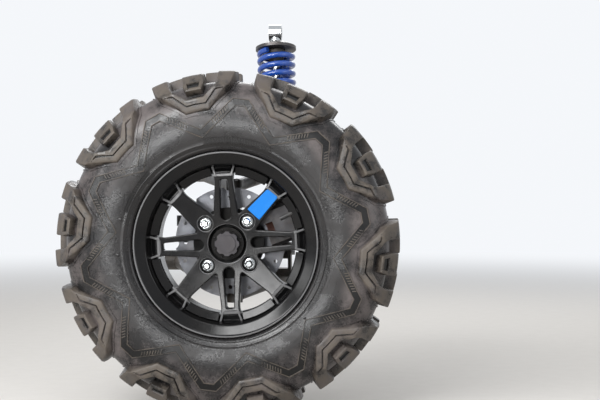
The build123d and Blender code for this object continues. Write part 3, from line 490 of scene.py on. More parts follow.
# Settings that a user would change
class TyreSettings(bpy.types.PropertyGroup):
    """Sizes and colours of the tyre."""

    lug_edge: FloatProperty(name="Lug edge", description="Width of the rounded edge on a lug",
                            default=0.0016, unit="LENGTH")
    lug_draft: FloatProperty(name="Lug draft", description="How far a lug's foot stands out past its top",
                             default=0.0026, unit="LENGTH")
    lug_root: FloatProperty(name="Lug root", description="How far a lug goes down into the carcass",
                            default=0.004, unit="LENGTH")
    sipe_depth: FloatProperty(name="Sipe depth", description="Depth of the groove along a lug",
                              default=0.0036, unit="LENGTH")
    band_width: FloatProperty(name="Band width", description="Width of the zigzag band on the side wall",
                              default=0.0145, unit="LENGTH")
    band_height: FloatProperty(name="Band height", description="Height of the zigzag band",
                               default=0.0027, unit="LENGTH")
    rubber_clean: FloatVectorProperty(name="Clean rubber", description="Colour of rubber without dust",
                                      default=(0.008, 0.0075, 0.008), subtype="COLOR")
    rubber_dusty: FloatVectorProperty(name="Dusty rubber", description="Colour of rubber under dust",
                                      default=(0.042, 0.036, 0.035), subtype="COLOR")
    lug_face: FloatVectorProperty(name="Lug face", description="Colour of the lugs' worn faces",
                                  default=(0.094, 0.078, 0.062), subtype="COLOR")


class FinishSettings(bpy.types.PropertyGroup):
    """Colours of the painted pieces and the dust."""

    rim_paint: FloatVectorProperty(name="Rim paint", description="Satin paint of the rim",
                                   default=(0.004, 0.004, 0.0045), subtype="COLOR")
    plate_blue: FloatVectorProperty(name="Spoke plate", description="Paint of the plate on one spoke",
                                    default=(0.003, 0.165, 0.56), subtype="COLOR")
    spring_blue: FloatVectorProperty(name="Spring", description="Powder coat of the spring",
                                     default=(0.003, 0.06, 0.34), subtype="COLOR")
    arm_paint: FloatVectorProperty(name="Arm paint", description="Powder coat of the arms",
                                   default=(0.012, 0.012, 0.013), subtype="COLOR")
    dust: FloatVectorProperty(name="Dust", description="Colour of the dust on every piece",
                              default=(0.2, 0.16, 0.12), subtype="COLOR")


class StageSettings(bpy.types.PropertyGroup):
    """Camera and lamps."""

    azimuth: FloatProperty(name="Camera azimuth", description="Turn of the camera towards the front",
                           default=math.radians(3.5), subtype="ANGLE")
    elevation: FloatProperty(name="Camera elevation", description="Height of the camera over the horizon",
                             default=math.radians(1.5), subtype="ANGLE")
    distance: FloatProperty(name="Camera distance", description="From the wheel's middle",
                            default=2.6, unit="LENGTH")
    lens: FloatProperty(name="Lens", description="Focal length", default=85.2, unit="CAMERA")
    key_power: FloatProperty(name="Key lamp", description="Power of the main lamp",
                             default=60.0, unit="POWER")


# Tyre
def ray_to_line(starts, directions, line):
    """Distance along each ray to a polyline, and where on the line it meets it; 0 where it doesn't."""
    distance = np.full(len(starts), np.inf)
    where = np.zeros(len(starts))
    for k, (a, b) in enumerate(zip(line, line[1:])):
        run = b - a
        gap = a - starts
        cross = directions[:, 0] * run[1] - directions[:, 1] * run[0]
        t = (gap[:, 0] * run[1] - gap[:, 1] * run[0]) / cross
        q = (gap[:, 0] * directions[:, 1] - gap[:, 1] * directions[:, 0]) / cross
        hit = (q >= 0) & (q <= 1) & (t > 0) & (t < distance)
        distance[hit] = t[hit]
        where[hit] = k + q[hit]
    return np.where(np.isinf(distance), 0, distance), where


class TyreForm:
    """The carcass section, and how far the lugs stand over it, looked up along the section's length."""

    # (radius, out) from the bead to the middle of the tread, in millimetres, with the rim guard's ribs
    SECTION = [(170, 79), (171, 84), (172, 88.4), (174, 91.4), (176.6, 92.5), (178.2, 91.5), (180, 91.8),
               (183, 93.8), (185.4, 95), (187.2, 94.4), (192, 95.7), (205, 98), (220, 99.2), (238, 98.6),
               (254, 96.4), (268, 91.8), (280, 84.6), (289, 76), (295, 66), (297.5, 52), (298, 30), (298, 0)]
    # (radius, out) of the lugs' tops, in millimetres
    LUG_TOPS = [(234, 102), (256, 102.4), (286, 101), (290.5, 98.6), (313.8, 71), (316.4, 66.6), (317.3, 50),
                (317.3, -0.5)]
    # radius past which the carcass belongs to the tread
    TREAD_FOOT = 294

    def __init__(self):
        half = smooth_line(np.array(self.SECTION) * MM, 0.004)
        lengths = lengths_along(half)
        self.whole = np.vstack([half, half[-2::-1] * (1, -1)])
        self.length = 2 * lengths[-1]
        coarse = np.concatenate([lengths, self.length - lengths[-2::-1]])
        self.s = np.linspace(0, self.length, 1401)
        self.section = np.column_stack([np.interp(self.s, coarse, self.whole[:, k]) for k in (0, 1)])
        tangent = np.gradient(self.section, axis=0)
        reach = 10
        kernel = np.ones(2 * reach + 1) / (2 * reach + 1)
        padded = np.pad(tangent, ((reach, reach), (0, 0)), "edge")
        tangent = np.column_stack([np.convolve(column, kernel, "valid") for column in padded.T])
        tangent /= np.linalg.norm(tangent, axis=1)[:, None]
        self.normal = np.column_stack([-tangent[:, 1], tangent[:, 0]])
        self.half = slice(0, len(self.s) // 2 + 1)
        rise, where = ray_to_line(self.section[self.half], self.normal[self.half],
                                  np.array(self.LUG_TOPS) * MM)
        rise[-1], where[-1] = rise[-2], where[-2]
        self.rise = np.concatenate([rise, rise[-2::-1]])
        near = [float(np.interp(k, where, self.s[self.half])) for k in range(1, len(self.LUG_TOPS) - 1)]
        self.creases = near + [self.length - s for s in near]
        self.top = self.section + self.normal * self.rise[:, None]

    def at_top_radius(self, radius):
        """Length along the outboard half where the lugs' tops have this radius, in millimetres."""
        tops = np.maximum.accumulate(self.top[self.half, 0])
        return float(np.interp(radius * MM, tops, self.s[self.half]))

    def at_out(self, out):
        """Length along the section where its tread is this far outboard, in millimetres."""
        tread = self.section[:, 0] > self.TREAD_FOOT * MM
        return float(np.interp(-out * MM, -self.section[tread, 1], self.s[tread]))

    def from_plane(self, rows):
        """Layout rows from rows of (forward, up, height) drawn flat on the side wall."""
        radius = np.hypot(rows[:, 0], rows[:, 1])
        length = np.interp(radius, self.section[self.half, 0], self.s[self.half])
        angle = np.unwrap(np.arctan2(rows[:, 1], rows[:, 0]))
        return np.column_stack([angle * LAYOUT_RADIUS, length, np.zeros(len(rows)), rows[:, 2]])

    def world(self, rows, angle, side):
        """World points from layout rows of (x round the tyre, length, share of the lug height, height)."""
        x, s, share, added = rows.T
        height = share * np.interp(s, self.s, self.rise) + added
        point = [np.interp(s, self.s, column) for column in self.section.T]
        normal = [np.interp(s, self.s, column) for column in self.normal.T]
        radius, out = (point[k] + normal[k] * height for k in (0, 1))
        theta = x / LAYOUT_RADIUS + math.radians(angle)
        return np.column_stack([WHEEL_CENTRE.x + radius * np.cos(theta), WHEEL_CENTRE.y - out * side,
                                WHEEL_CENTRE.z + radius * np.sin(theta)])


def resample(outline, step, creases):
    """The outline's corners, with points added along its long sides and where it crosses a crease."""
    out = []
    for (x0, y0), (x1, y1) in sides(outline):
        count = max(1, round(math.hypot(x1 - x0, y1 - y0) / step))
        cuts = {i / count for i in range(count)}
        cuts |= {(crease - y0) / (y1 - y0) for crease in creases if min(y0, y1) < crease < max(y0, y1)}
        kept = [0.0]
        least = 0.12 / count
        for cut in sorted(cuts)[1:]:
            if cut - kept[-1] > least and 1 - cut > least:
                kept.append(cut)
        out += [(x0 + (x1 - x0) * t, y0 + (y1 - y0) * t) for t in kept]
    return out


def inset(outline, distance):
    """An anticlockwise outline moved inwards by a distance, with mitred corners, the sharpest cut short."""
    sharpest = 0.35
    out = []
    for before, here, after in corners(outline):
        first = np.subtract(here, before) / math.dist(here, before)
        second = np.subtract(after, here) / math.dist(here, after)
        mitre = np.array([-first[1] - second[1], first[0] + second[0]])
        share = max(mitre @ np.array([-second[1], second[0]]), sharpest)
        out.append(tuple(np.array(here) + mitre / share * distance))
    return out


def within(points, outline):
    """Which points lie inside a closed outline."""
    x, y = np.asarray(points).T
    hit = np.zeros(len(x), bool)
    for (x0, y0), (x1, y1) in sides(outline):
        if y0 != y1:
            hit ^= ((y0 > y) != (y1 > y)) & (x < (x1 - x0) * (y - y0) / (y1 - y0) + x0)
    return hit


def split_side(start, end, step):
    """Points from start to just before end, at about this step."""
    count = max(1, round(math.dist(start, end) / step))
    return [tuple(start[k] + (end[k] - start[k]) * i / count for k in (0, 1)) for i in range(count)]


def divided(outline, step):
    """A closed outline with points added along its long sides."""
    return [point for a, b in sides(outline) for point in split_side(a, b, step)]


def merged(rows, faces, digits):
    """Joins rows that are the same to this many digits, and drops the faces that this leaves flat."""
    _, first, where = np.unique(np.round(rows, digits), axis=0, return_index=True, return_inverse=True)
    where = where.ravel()
    kept = []
    for face in faces:
        corner_rows = list(dict.fromkeys(int(where[i]) for i in face))
        if len(corner_rows) > 2:
            kept.append(tuple(corner_rows))
    return rows[first], kept


def relief(levels, step, creases):
    """A closed island from nested outlines, each with its (share of the lug's height, added height).

    The levels are the foot, the top of the wall, the face, and for each groove its rim and its floor.
    Returns rows of (x, y, share, added) and triangles.
    """
    rows, edges = [], []
    for outline, share, added in levels:
        start = len(rows)
        rows += [(x, y, share, added) for x, y in resample(outline, step, creases)]
        count = len(rows) - start
        edges += [(start + i, start + (i + 1) % count) for i in range(count)]
    foot = len(resample(levels[0][0], step, creases))
    face, share, added = levels[2]
    inner = inset(face, step * 0.4)
    grooves = [inset(outline, -step * 0.3) for outline, _, _ in levels[3::2]]
    xs, ys = zip(*face)
    lines = [y for y in np.arange(min(ys) + step / 2, max(ys), step)
             if min(abs(y - crease) for crease in creases) > step * 0.4]
    lines += [crease for crease in creases if min(ys) < crease < max(ys)]
    grid = np.array([(x, y) for y in lines for x in np.arange(min(xs) + step / 2, max(xs), step)])
    kept = within(grid, inner)
    for groove in grooves:
        kept &= ~within(grid, groove)
    rows += [(x, y, share, added) for x, y in grid[kept].tolist()]
    flat = [Vector(row[:2]) for row in rows]
    coords, _, triangles, origins = geometry.delaunay_2d_cdt(flat, edges, [list(range(foot))], 1, 1e-7)[:4]
    out = []
    for point, origin in zip(coords, origins):
        source = rows[origin[0]] if origin else (0, 0, share, added)
        out.append((point.x, point.y, source[2], source[3]))
    below, _, under = geometry.delaunay_2d_cdt(flat[:foot], [], [list(range(foot))], 1, 1e-7)[:3]
    start = len(out)
    out += [(p.x, p.y, *levels[0][1:]) for p in below]
    triangles = list(triangles) + [tuple(start + i for i in reversed(t)) for t in under]
    return merged(np.array(out), triangles, 6)


def lug_levels(outline, settings, drop=0.0, grooves=()):
    """Nested outlines of a lug; a groove is (outline, width)."""
    edge = settings.lug_edge
    levels = [(inset(outline, -settings.lug_draft), 0, -settings.lug_root),
              (outline, 1, -drop - edge * 0.8), (inset(outline, edge), 1, -drop)]
    for groove, width in grooves:
        levels += [(groove, 1, -drop), (inset(groove, width * 0.28), 1, -drop - settings.sipe_depth)]
    return levels


def layout(table):
    """(x, length) points from (length, degrees)."""
    return [(math.radians(angle) * LAYOUT_RADIUS, length) for length, angle in table]


def mirrored(half):
    """A whole anticlockwise outline from its half on the positive side, from its foot up and back in."""
    return half + [(-x, y) for x, y in reversed(half)]


def stripe(path, profile, step, closed=False):
    """A raised stripe along a flat path: rows of (x, y, height) and faces. profile is (offset, height)."""
    if closed:
        fine = np.array(divided(path, step))
        before, after = np.roll(fine, 1, axis=0), np.roll(fine, -1, axis=0)
    else:
        fine = [point for a, b in zip(path, path[1:]) for point in split_side(a, b, step)]
        fine = np.array(fine + [path[-1]])
        before = np.vstack([2 * fine[0] - fine[1], fine[:-1]])
        after = np.vstack([fine[1:], 2 * fine[-1] - fine[-2]])
    first = (fine - before) / np.linalg.norm(fine - before, axis=1)[:, None]
    second = (after - fine) / np.linalg.norm(after - fine, axis=1)[:, None]
    normals = np.column_stack([-first[:, 1] - second[:, 1], first[:, 0] + second[:, 0]])
    normals /= (1 + (first * second).sum(axis=1))[:, None]
    rows = [(*(point + normal * offset), height) for point, normal in zip(fine, normals)
            for offset, height in profile]
    return np.array(rows), tube_faces(len(fine), len(profile), closed)


def polar(radius, angle):
    """A point on the side wall, from its radius in millimetres and its angle in degrees."""
    return (radius * MM * math.cos(math.radians(angle)), radius * MM * math.sin(math.radians(angle)))


def ridge(width, height):
    """Section of a plain raised line."""
    half = width / 2
    return [(-half, -0.0004), (-half * 0.7, height), (half * 0.7, height), (half, -0.0004)]


def bordered(width, height):
    """Section of a raised band with a thin border on each side."""
    half, floor = width / 2, height * 0.5
    right = [(half - 0.0021, floor), (half - 0.0016, height), (half - 0.0005, height), (half, -0.0004)]
    return [(-x, y) for x, y in reversed(right)] + right


def side_wall_relief(form, shape, settings):
    """Zigzag band with hatched arms, ribbed panels by the bead and moulding pips, on both side walls."""
    apexes = [BAND_FIRST + i * LUG_PITCH for i in range(LUG_COUNT)]
    # radii in millimetres, and half of an apex's flat top in degrees
    apex_radius, foot_radius, apex_half = 259, 206, 2.6
    zigzag = []
    for apex in apexes:
        zigzag += [polar(apex_radius, apex - apex_half), polar(apex_radius, apex + apex_half),
                   polar(foot_radius, apex + LUG_PITCH / 2)]
    drawn = [stripe(zigzag, bordered(settings.band_width, settings.band_height), 0.004, closed=True)]
    # (radius, degrees from the apex) of the ends of an arm's hatching
    hatch_top, hatch_foot = (252, 4.4), (216, 14.8)
    hatch = ridge(0.0022, settings.band_height * 1.05)
    hatch_count, hatch_start, hatch_pitch, hatch_reach, hatch_lean = 8, 0.005, 0.0051, 0.0034, 0.0014
    for apex in apexes:
        for turn in (1, -1):
            top, low = (polar(radius, apex + turn * off) for radius, off in (hatch_top, hatch_foot))
            run = np.subtract(low, top) / math.dist(low, top)
            side = np.array([-run[1], run[0]]) * hatch_reach
            lean = run * hatch_lean * turn
            for k in range(hatch_count):
                centre = np.array(top) + run * (hatch_start + k * hatch_pitch)
                ends = [tuple(centre - side - lean), tuple(centre + side + lean)]
                drawn.append(stripe(ends, hatch, 0.01))
    end_gap, rib_gap, rib_lean = 1.2, 2.8, 0.25
    # (radius, first angle, last angle, width, number of ribs) of the panels by the bead
    panels = [(190.5, 63, 102, 13, 26), (190, -38, -6, 10, 21), (190, 136, 162, 10, 17),
              (190, 222, 250, 10, 18)]
    for radius, first, last, width, ribs in panels:
        arc = [polar(radius, angle) for angle in np.linspace(first, last, 24)]
        drawn.append(stripe(arc, bordered(width * MM, 0.0012), 0.01))
        reach = width / 2 - rib_gap
        for angle in np.linspace(first + end_gap, last - end_gap, ribs):
            ends = [polar(radius - reach, angle - rib_lean), polar(radius + reach, angle + rib_lean)]
            drawn.append(stripe(ends, ridge(0.0024, 0.0016), 0.02))
    # two hairlines run all the way round
    for radius in (200, 214):
        arc = [polar(radius, angle) for angle in np.linspace(0, 360, 120, endpoint=False)]
        drawn.append(stripe(arc, ridge(0.0009, 0.0004), 0.02, closed=True))
    for rows, faces in drawn:
        scuffed = np.where(rows[:, 2] > settings.band_height * 0.7, 1.0, 0.0)
        for side in (1, -1):
            shape.add(form.world(form.from_plane(rows), 0, side), faces, scuffed)
    pip_radius, pip_angles = 196, (166.5, 185.6, 220, -42, 20)
    pip = [(2.8, -0.6), (2.6, 0.7), (1.5, 1.2), (0.5, 1.3)]
    for angle in pip_angles:
        for side in (1, -1):
            centre = form.world(form.from_plane(np.array([(*polar(pip_radius, angle), 0.0)])), 0, side)[0]
            shape.add(*turned(pip, centre, (0, -side, 0), 20))


def tread_lugs(form, settings):
    """Rows, faces and ways, 1 or -1 across the tread, of each kind of island in one pitch."""
    inner_end = form.at_out(26)
    at = form.at_top_radius
    # (length, degrees): half of the U, from its foot along the outside to the leg's end and back inside
    u_outline = mirrored(layout([(at(246.5), 5.0), (at(294), 13.2), (form.at_out(55), 14.6),
                                 (inner_end, 14.8), (inner_end, 8.9), (form.at_out(58), 8.8),
                                 (at(300), 8.6), (at(290), 7.7), (at(271), 3.3)]))
    sipe = mirrored(layout([(at(257.3), 4.15), (at(282), 8.7), (at(284), 11.1), (at(286.2), 10.9),
                            (at(284.6), 8.0), (at(260.2), 3.85)]))
    pocket = mirrored(layout([(at(287), 2.9), (at(301), 3.7), (form.at_out(44), 3.7)]))
    notch = mirrored(layout([(at(291.5), 2.0), (at(302), 2.4)]))
    near, far = form.at_out(22), form.at_out(-22)
    centre = form.at_out(0)
    block = layout([(near, 3.5), (near, 9.5), (centre, 9.8), (far, 9.5), (far, 3.5), (centre, 3.2)])
    u_lug = lug_levels(u_outline, settings, grooves=[(sipe, 0.0034)])
    pocket_lug = lug_levels(pocket, settings, 0.002, [(notch, 0.004)])
    islands = [(*relief(levels, 0.006, form.creases), (1, -1)) for levels in (u_lug, pocket_lug)]
    rows, faces = relief(lug_levels(block, settings), 0.007, form.creases)
    islands += [(rows * (way, 1, 1, 1), faces, (1,)) for way in (1, -1)]
    return islands, u_outline


def build_tyre(settings):
    """Carcass, lugs and the side walls' relief as one shape."""
    form = TyreForm()
    shape = Shape()
    # (radius, out) of the tyre's inside, in millimetres
    inner = [(163, -62), (214, -88), (286, -58), (288, 0), (286, 58), (214, 88), (163, 62)]
    loop = np.vstack([form.whole / MM, inner]) * (1, -1)
    shape.add(*turned(loop, WHEEL_CENTRE, (0, 1, 0), 240, closed=True))

    islands, u_outline = tread_lugs(form, settings)
    # a fine step runs round each U, beside its outer wall
    step_line = inset(u_outline, -0.0062)
    step_line = step_line[:4][::-1] + step_line[-1:-5:-1]
    rows, faces = stripe(step_line, ridge(0.0022, 0.0016), 0.005)
    islands.append((np.column_stack([rows[:, :2], np.zeros(len(rows)), rows[:, 2]]), faces, (1, -1)))
    # rows of a lug's top that lie lower than this are the floors of its grooves
    groove_line = -0.0035
    for i in range(LUG_COUNT):
        for rows, faces, ways in islands:
            on_face = np.where((rows[:, 2] > 0.5) & (rows[:, 3] > groove_line), 1.0, 0.0)
            for way in ways:
                shape.add(form.world(rows, LUG_FIRST + i * LUG_PITCH, way), faces, on_face)
    side_wall_relief(form, shape, settings)
    return shape


# Rim
def softened(outline, reaches):
    """An outline with each corner rounded by a short curve that starts this far from it."""
    out = []
    for (before, here, after), reach in zip(corners(outline), reaches):
        if not reach:
            out.append(tuple(here))
            continue
        here = np.array(here)
        start, end = (here + (np.array(other) - here) * min(reach / math.dist(other, here), 0.45)
                      for other in (before, after))
        out += [tuple((1 - t) ** 2 * start + 2 * t * (1 - t) * here + t * t * end)
                for t in np.linspace(0, 1, 7)]
    return out


def rotated(points, degrees):
    """Flat points turned about the origin."""
    cosine, sine = math.cos(math.radians(degrees)), math.sin(math.radians(degrees))
    return [(x * cosine - y * sine, x * sine + y * cosine) for x, y in points]


def circle(radius, count, centre=(0, 0)):
    """Flat points round a circle."""
    return [(centre[0] + radius * math.cos(t), centre[1] + radius * math.sin(t))
            for t in np.linspace(0, 2 * math.pi, count, endpoint=False)]


def to_outline(points, outline):
    """Each point's distance to a closed outline, 0 where it touches, and the nearest place along it."""
    touch = 0.002
    a = np.array(outline)
    run = np.roll(a, -1, axis=0) - a
    gap = points[:, None, :] - a[None]
    t = np.clip((gap * run).sum(-1) / np.maximum((run ** 2).sum(-1), 1e-12), 0, 1)
    distance = np.sqrt(((gap - t[..., None] * run) ** 2).sum(-1))
    side = distance.argmin(axis=1)
    rows = np.arange(len(points))
    distance = distance[rows, side]
    return np.where(distance < touch, 0, distance), side + t[rows, side]


def distance_to(points, outlines):
    """Distance of each point to the nearest of some closed outlines."""
    return np.min([to_outline(points, outline)[0] for outline in outlines], axis=0)


# Rings of points beside a rounded edge, and the clear strip inside them, as shares of the edge's radius
EDGE_RINGS = (0, 0.3, 1, 1.25)
EDGE_CLEAR = 1.7


def casting(outer, holes, front, back, edge, step, lines=(), round_outer=False):
    """A flat casting: points (x, y, height) and faces.

    front and back give the heights over flat points, edge is the radius of the rounded front edges, and
    lines are flat lines along which the front or back bends. The rings beside each rounded edge keep the
    shading of the flat faces even.
    """
    rounded = list(holes) + ([outer] if round_outer else [])
    low, high = np.min(outer, axis=0), np.max(outer, axis=0)
    xs, ys = np.meshgrid(np.arange(low[0], high[0], step), np.arange(low[1], high[1], step))
    grid = np.column_stack([xs.ravel(), ys.ravel()])
    grid = grid[within(grid, outer)]
    grid = grid[distance_to(grid, rounded + [outer]) > edge * EDGE_CLEAR]
    rows, faces = [], []
    for height, offsets in ((front, [edge * share for share in EDGE_RINGS]), (back, [0])):
        rings = [inset(hole, -offset) for hole in holes for offset in offsets]
        rings += [inset(outer, offset) for offset in (offsets if round_outer else [0])]
        flat, edges = [], []
        for ring in rings:
            edges += [(len(flat) + i, len(flat) + (i + 1) % len(ring)) for i in range(len(ring))]
            flat += ring
        for line in lines:
            edges += [(len(flat) + i, len(flat) + i + 1) for i in range(len(line) - 1)]
            flat += line
        flat += [tuple(point) for point in grid]
        found, _, triangles = geometry.delaunay_2d_cdt([Vector(p) for p in flat], edges, [], 0, 1e-6)[:3]
        found = np.array([tuple(p) for p in found])
        triangles = np.array(triangles)
        centres = found[triangles].mean(axis=1)
        kept = within(centres, outer)
        for hole in holes:
            kept &= ~within(centres, hole)
        z = height(found)
        if height is front:
            near = np.clip(edge - distance_to(found, rounded), 0, edge)
            z = z - (edge - np.sqrt(edge ** 2 - near ** 2))
        faces += [tuple(int(i) + sum(map(len, rows)) for i in t) for t in triangles[kept]]
        rows.append(np.column_stack([found, z]))
    joined = rows[0][:, :2]
    for outline in list(holes) + [outer]:
        distance, position = to_outline(joined, outline)
        position = np.where(distance == 0, position % len(outline), np.inf)
        flat = joined[np.argsort(position)[:int((distance == 0).sum())]]
        drop = edge if round_outer or outline is not outer else 0
        start = sum(map(len, rows))
        count = len(flat)
        rows += [np.column_stack([flat, front(flat) - drop]), np.column_stack([flat, back(flat)])]
        faces += [(start + i, start + (i + 1) % count, start + count + (i + 1) % count, start + count + i)
                  for i in range(count)]
    return merged(np.vstack(rows), faces, 3)


class RimForm:
    """The rim's outlines in its own plane, in millimetres, before its small turn in degrees."""

    TURN = 3
    # (angle of the first, half width at radius 47) of the slotted and the plain spokes, which stand 45 apart
    SPOKES = [(0, 23.2), (45, 21.7)]
    WIDTH_RADIUS = 47
    TAPER = 0.095
    # radii at which the spokes' faces end, their sides flare and the windows end
    FACE_END, FOOT, WINDOW_END = 126, 118, 131.9
    # how far each side flares at this radius
    FLARE, FLARE_RADIUS = 7.2, 140
    SLOT_START, SLOT_END, SLOT_HALF, SLOT_END_HALF = 53.75, 119, 9.75, 6.8
    # radii of the stud circle, the pockets and the bore
    STUD_CIRCLE, POCKET, BORE = 55, 14, 35.75
    # distances outboard of the face in its middle, the pockets' floors, the back and the disc's back
    FACE, POCKET_FLOOR, BACK, DISC_BACK = 51, 40, 36, 25.4
    DISC_RADIUS = 63
    # (distance out, depth under the dish) of the step down from the spokes' faces to the barrel
    STEP = [(FACE_END, 0), (129.2, 1.5), (129.7, 8), (131, 8.4)]
    # radius of the casting's rounded edges, and the radius at which it meets the barrel
    EDGE = 1.8
    PLATE_RADIUS = 133.5
    # (radius, out) round the barrel, from its front lip by the tyre's side to the back and along its inside
    BARREL = [(167.2, 86.3), (168.6, 86.1), (169.5, 85), (169.5, 82.2), (163, 77.6), (160.5, 76.8),
              (153, 76.4), (152.4, 75.4), (151.5, 56.2), (149, 52), (138, 39), (136, 36), (136, -14),
              (151.5, -56.2), (152.4, -75.4), (162, -76.8), (169.5, -82.2), (169.5, -84.8), (168.4, -86),
              (167, -86), (149, -78), (147, -54), (131.5, -22), (131.5, 49), (132.6, 50), (141, 46.4),
              (142.2, 47.4), (145.8, 73.4), (146.4, 75.6), (147.4, 77.2), (149.2, 78.1), (150, 78.43),
              (163.6, 84), (164.6, 84.4), (166, 85.4)]
    # (radius, out) of the sloping band between the feet of two neighbouring spokes, and its angles
    BAND = [(127.4, 44), (142.6, 44), (142.6, 57.6), (141.9, 59.13), (129.6, 54.09), (128.9, 53.8),
            (127.9, 53), (127.4, 51.8)]
    BAND_ANGLES = (9.6, 35.4)
    # the ears beside each spoke's foot: (radius, distance from the spoke's side at this radius without its
    # flare), and their slope
    EAR_SIDE_RADIUS = 125
    EAR_START, EAR_END, EAR_FLOOR, EAR_TOP, EAR_SLOPE = 124.5, 144, 44, 59.2, 0.25
    EAR = [(EAR_START, -3.7), (EAR_END, 2.4), (EAR_END, 6.4), (EAR_START, -0.1)]

    def half_width(self, half, radius):
        """Half a spoke's width at a radius, without the flare of its foot."""
        return half - self.TAPER * (radius - self.WIDTH_RADIUS)

    def side(self, half, way):
        """One long edge of a spoke from near the hub to past the barrel."""
        return [(radius, way * (self.half_width(half, radius) + flare))
                for radius, flare in ((20, 0), (self.FOOT, 0), (self.FLARE_RADIUS, self.FLARE))]

    def window(self, spoke, following):
        """Outline of the opening between two neighbouring spokes, each given by (angle, half width).

        Their sides meet in a corner by the hub, and an arc closes it by the barrel.
        """
        near = np.array(rotated(self.side(spoke[1], 1), spoke[0]))
        far = np.array(rotated(self.side(following[1], -1), following[0]))
        runs = np.column_stack([near[1] - near[0], far[0] - far[1]])
        share = np.linalg.solve(runs, far[0] - near[0])[0]
        corner = near[0] + (near[1] - near[0]) * share
        ends = []
        for line in (near, far):
            fine = line[1] + (line[2] - line[1]) * np.linspace(0, 1, 200)[:, None]
            ends.append(fine[np.argmin(np.abs(np.hypot(*fine.T) - self.WINDOW_END))])
        angles = [math.atan2(end[1], end[0]) for end in ends]
        if angles[1] < angles[0]:
            angles[1] += 2 * math.pi
        arc = [(self.WINDOW_END * math.cos(t), self.WINDOW_END * math.sin(t))
               for t in np.linspace(*angles, 22)[1:-1]]
        outline = [tuple(corner), tuple(near[1]), tuple(ends[0])] + arc + [tuple(ends[1]), tuple(far[1])]
        return divided(softened(outline, [7, 7, 3] + [0] * len(arc) + [3, 7]), 4)

    def openings(self):
        """Windows, slots, stud pockets and the bore."""
        spokes = [(angle + 90 * turn, half) for turn in range(4) for angle, half in self.SPOKES]
        windows = [self.window(a, b) for a, b in zip(spokes, spokes[1:] + [(360, self.SPOKES[0][1])])]
        round_end = [(self.SLOT_START + self.SLOT_HALF * math.cos(t), self.SLOT_HALF * math.sin(t))
                     for t in np.linspace(math.pi / 2, 3 * math.pi / 2, 15)]
        square_end = [(self.SLOT_END, -self.SLOT_END_HALF), (self.SLOT_END, self.SLOT_END_HALF)]
        slot = softened(round_end + square_end, [0] * 15 + [4, 4])
        slots = [divided(rotated(slot, 90 * turn), 4) for turn in range(4)]
        pocket = circle(self.POCKET, 40, (self.STUD_CIRCLE, 0))
        pockets = [rotated(pocket, 45 + 90 * turn) for turn in range(4)]
        return windows + slots + pockets + [circle(self.BORE, 72)]

    def studs(self):
        """Flat middles of the stud pockets."""
        return [rotated([(self.STUD_CIRCLE, 0)], 45 + 90 * turn)[0] for turn in range(4)]

    def along_spoke(self, flat):
        """Distance out along the nearest spoke."""
        radius, angle = np.hypot(*flat.T), np.degrees(np.arctan2(flat[:, 1], flat[:, 0]))
        off = (angle + 22.5) % 45 - 22.5
        return radius * np.cos(np.radians(off))

    def dish(self, flat):
        """Height of the dished face without its step at the spokes' ends."""
        flat_radius, rise = 35, 7
        share = np.maximum(np.hypot(*flat.T) - flat_radius, 0) / (self.FACE_END - flat_radius)
        return self.FACE + rise * share ** 1.4

    def front(self, flat):
        """Height of the face with its step: straight over the spokes and round by the barrel."""
        radius = np.hypot(*flat.T)
        out = np.where(radius > self.WINDOW_END - 0.1, radius, self.along_spoke(flat))
        return self.dish(flat) - np.interp(out, *zip(*self.STEP))

    def back(self, flat):
        """Height of the back: lower in the middle, where the disc that meets the hub is thicker."""
        return np.interp(np.hypot(*flat.T), [self.DISC_RADIUS, self.DISC_RADIUS + 0.5],
                         [self.DISC_BACK, self.BACK])

    def bends(self):
        """Lines of the step at each spoke's end, and of the disc on the back."""
        lines = []
        for angle in range(0, 360, 45):
            for out, _ in self.STEP[:3]:
                reach = out * math.tan(math.radians(22))
                lines.append(rotated([(out, -reach), (out, reach)], angle))
        for radius in (self.DISC_RADIUS, self.DISC_RADIUS + 0.5):
            ring = circle(radius, 96)
            lines.append(ring + ring[:1])
        return lines

    def world(self, points, degrees=0.0):
        """World points from (x, y, out) in millimetres."""
        points = np.asarray(points, float)
        flat = np.array(rotated(points[:, :2], self.TURN + degrees))
        return np.column_stack([WHEEL_CENTRE.x + flat[:, 0] * MM, WHEEL_CENTRE.y - points[:, 2] * MM,
                                WHEEL_CENTRE.z + flat[:, 1] * MM])


def part_ring(profile, start, end, count):
    """Closed (radius, out) profile turned from one angle in degrees to another, with its ends capped."""
    rows = [(radius * math.cos(angle), radius * math.sin(angle), out)
            for angle in np.radians(np.linspace(start, end, count)) for radius, out in profile]
    return rows, tube_faces(count, len(profile))


def build_ear(form, half, way):
    """A thin sloping ear along one side of a spoke's foot, on the spoke at angle 0."""
    side = form.half_width(half, form.EAR_SIDE_RADIUS)
    ear = [(x, way * (side + y)) for x, y in (form.EAR if way == 1 else reversed(form.EAR))]

    def top(flat):
        return form.EAR_TOP - form.EAR_SLOPE * (flat[:, 0] - form.EAR_START)

    def floor(flat):
        return np.full(len(flat), float(form.EAR_FLOOR))

    return casting(divided(ear, 6), [], top, floor, 0.9, 3, round_outer=True)


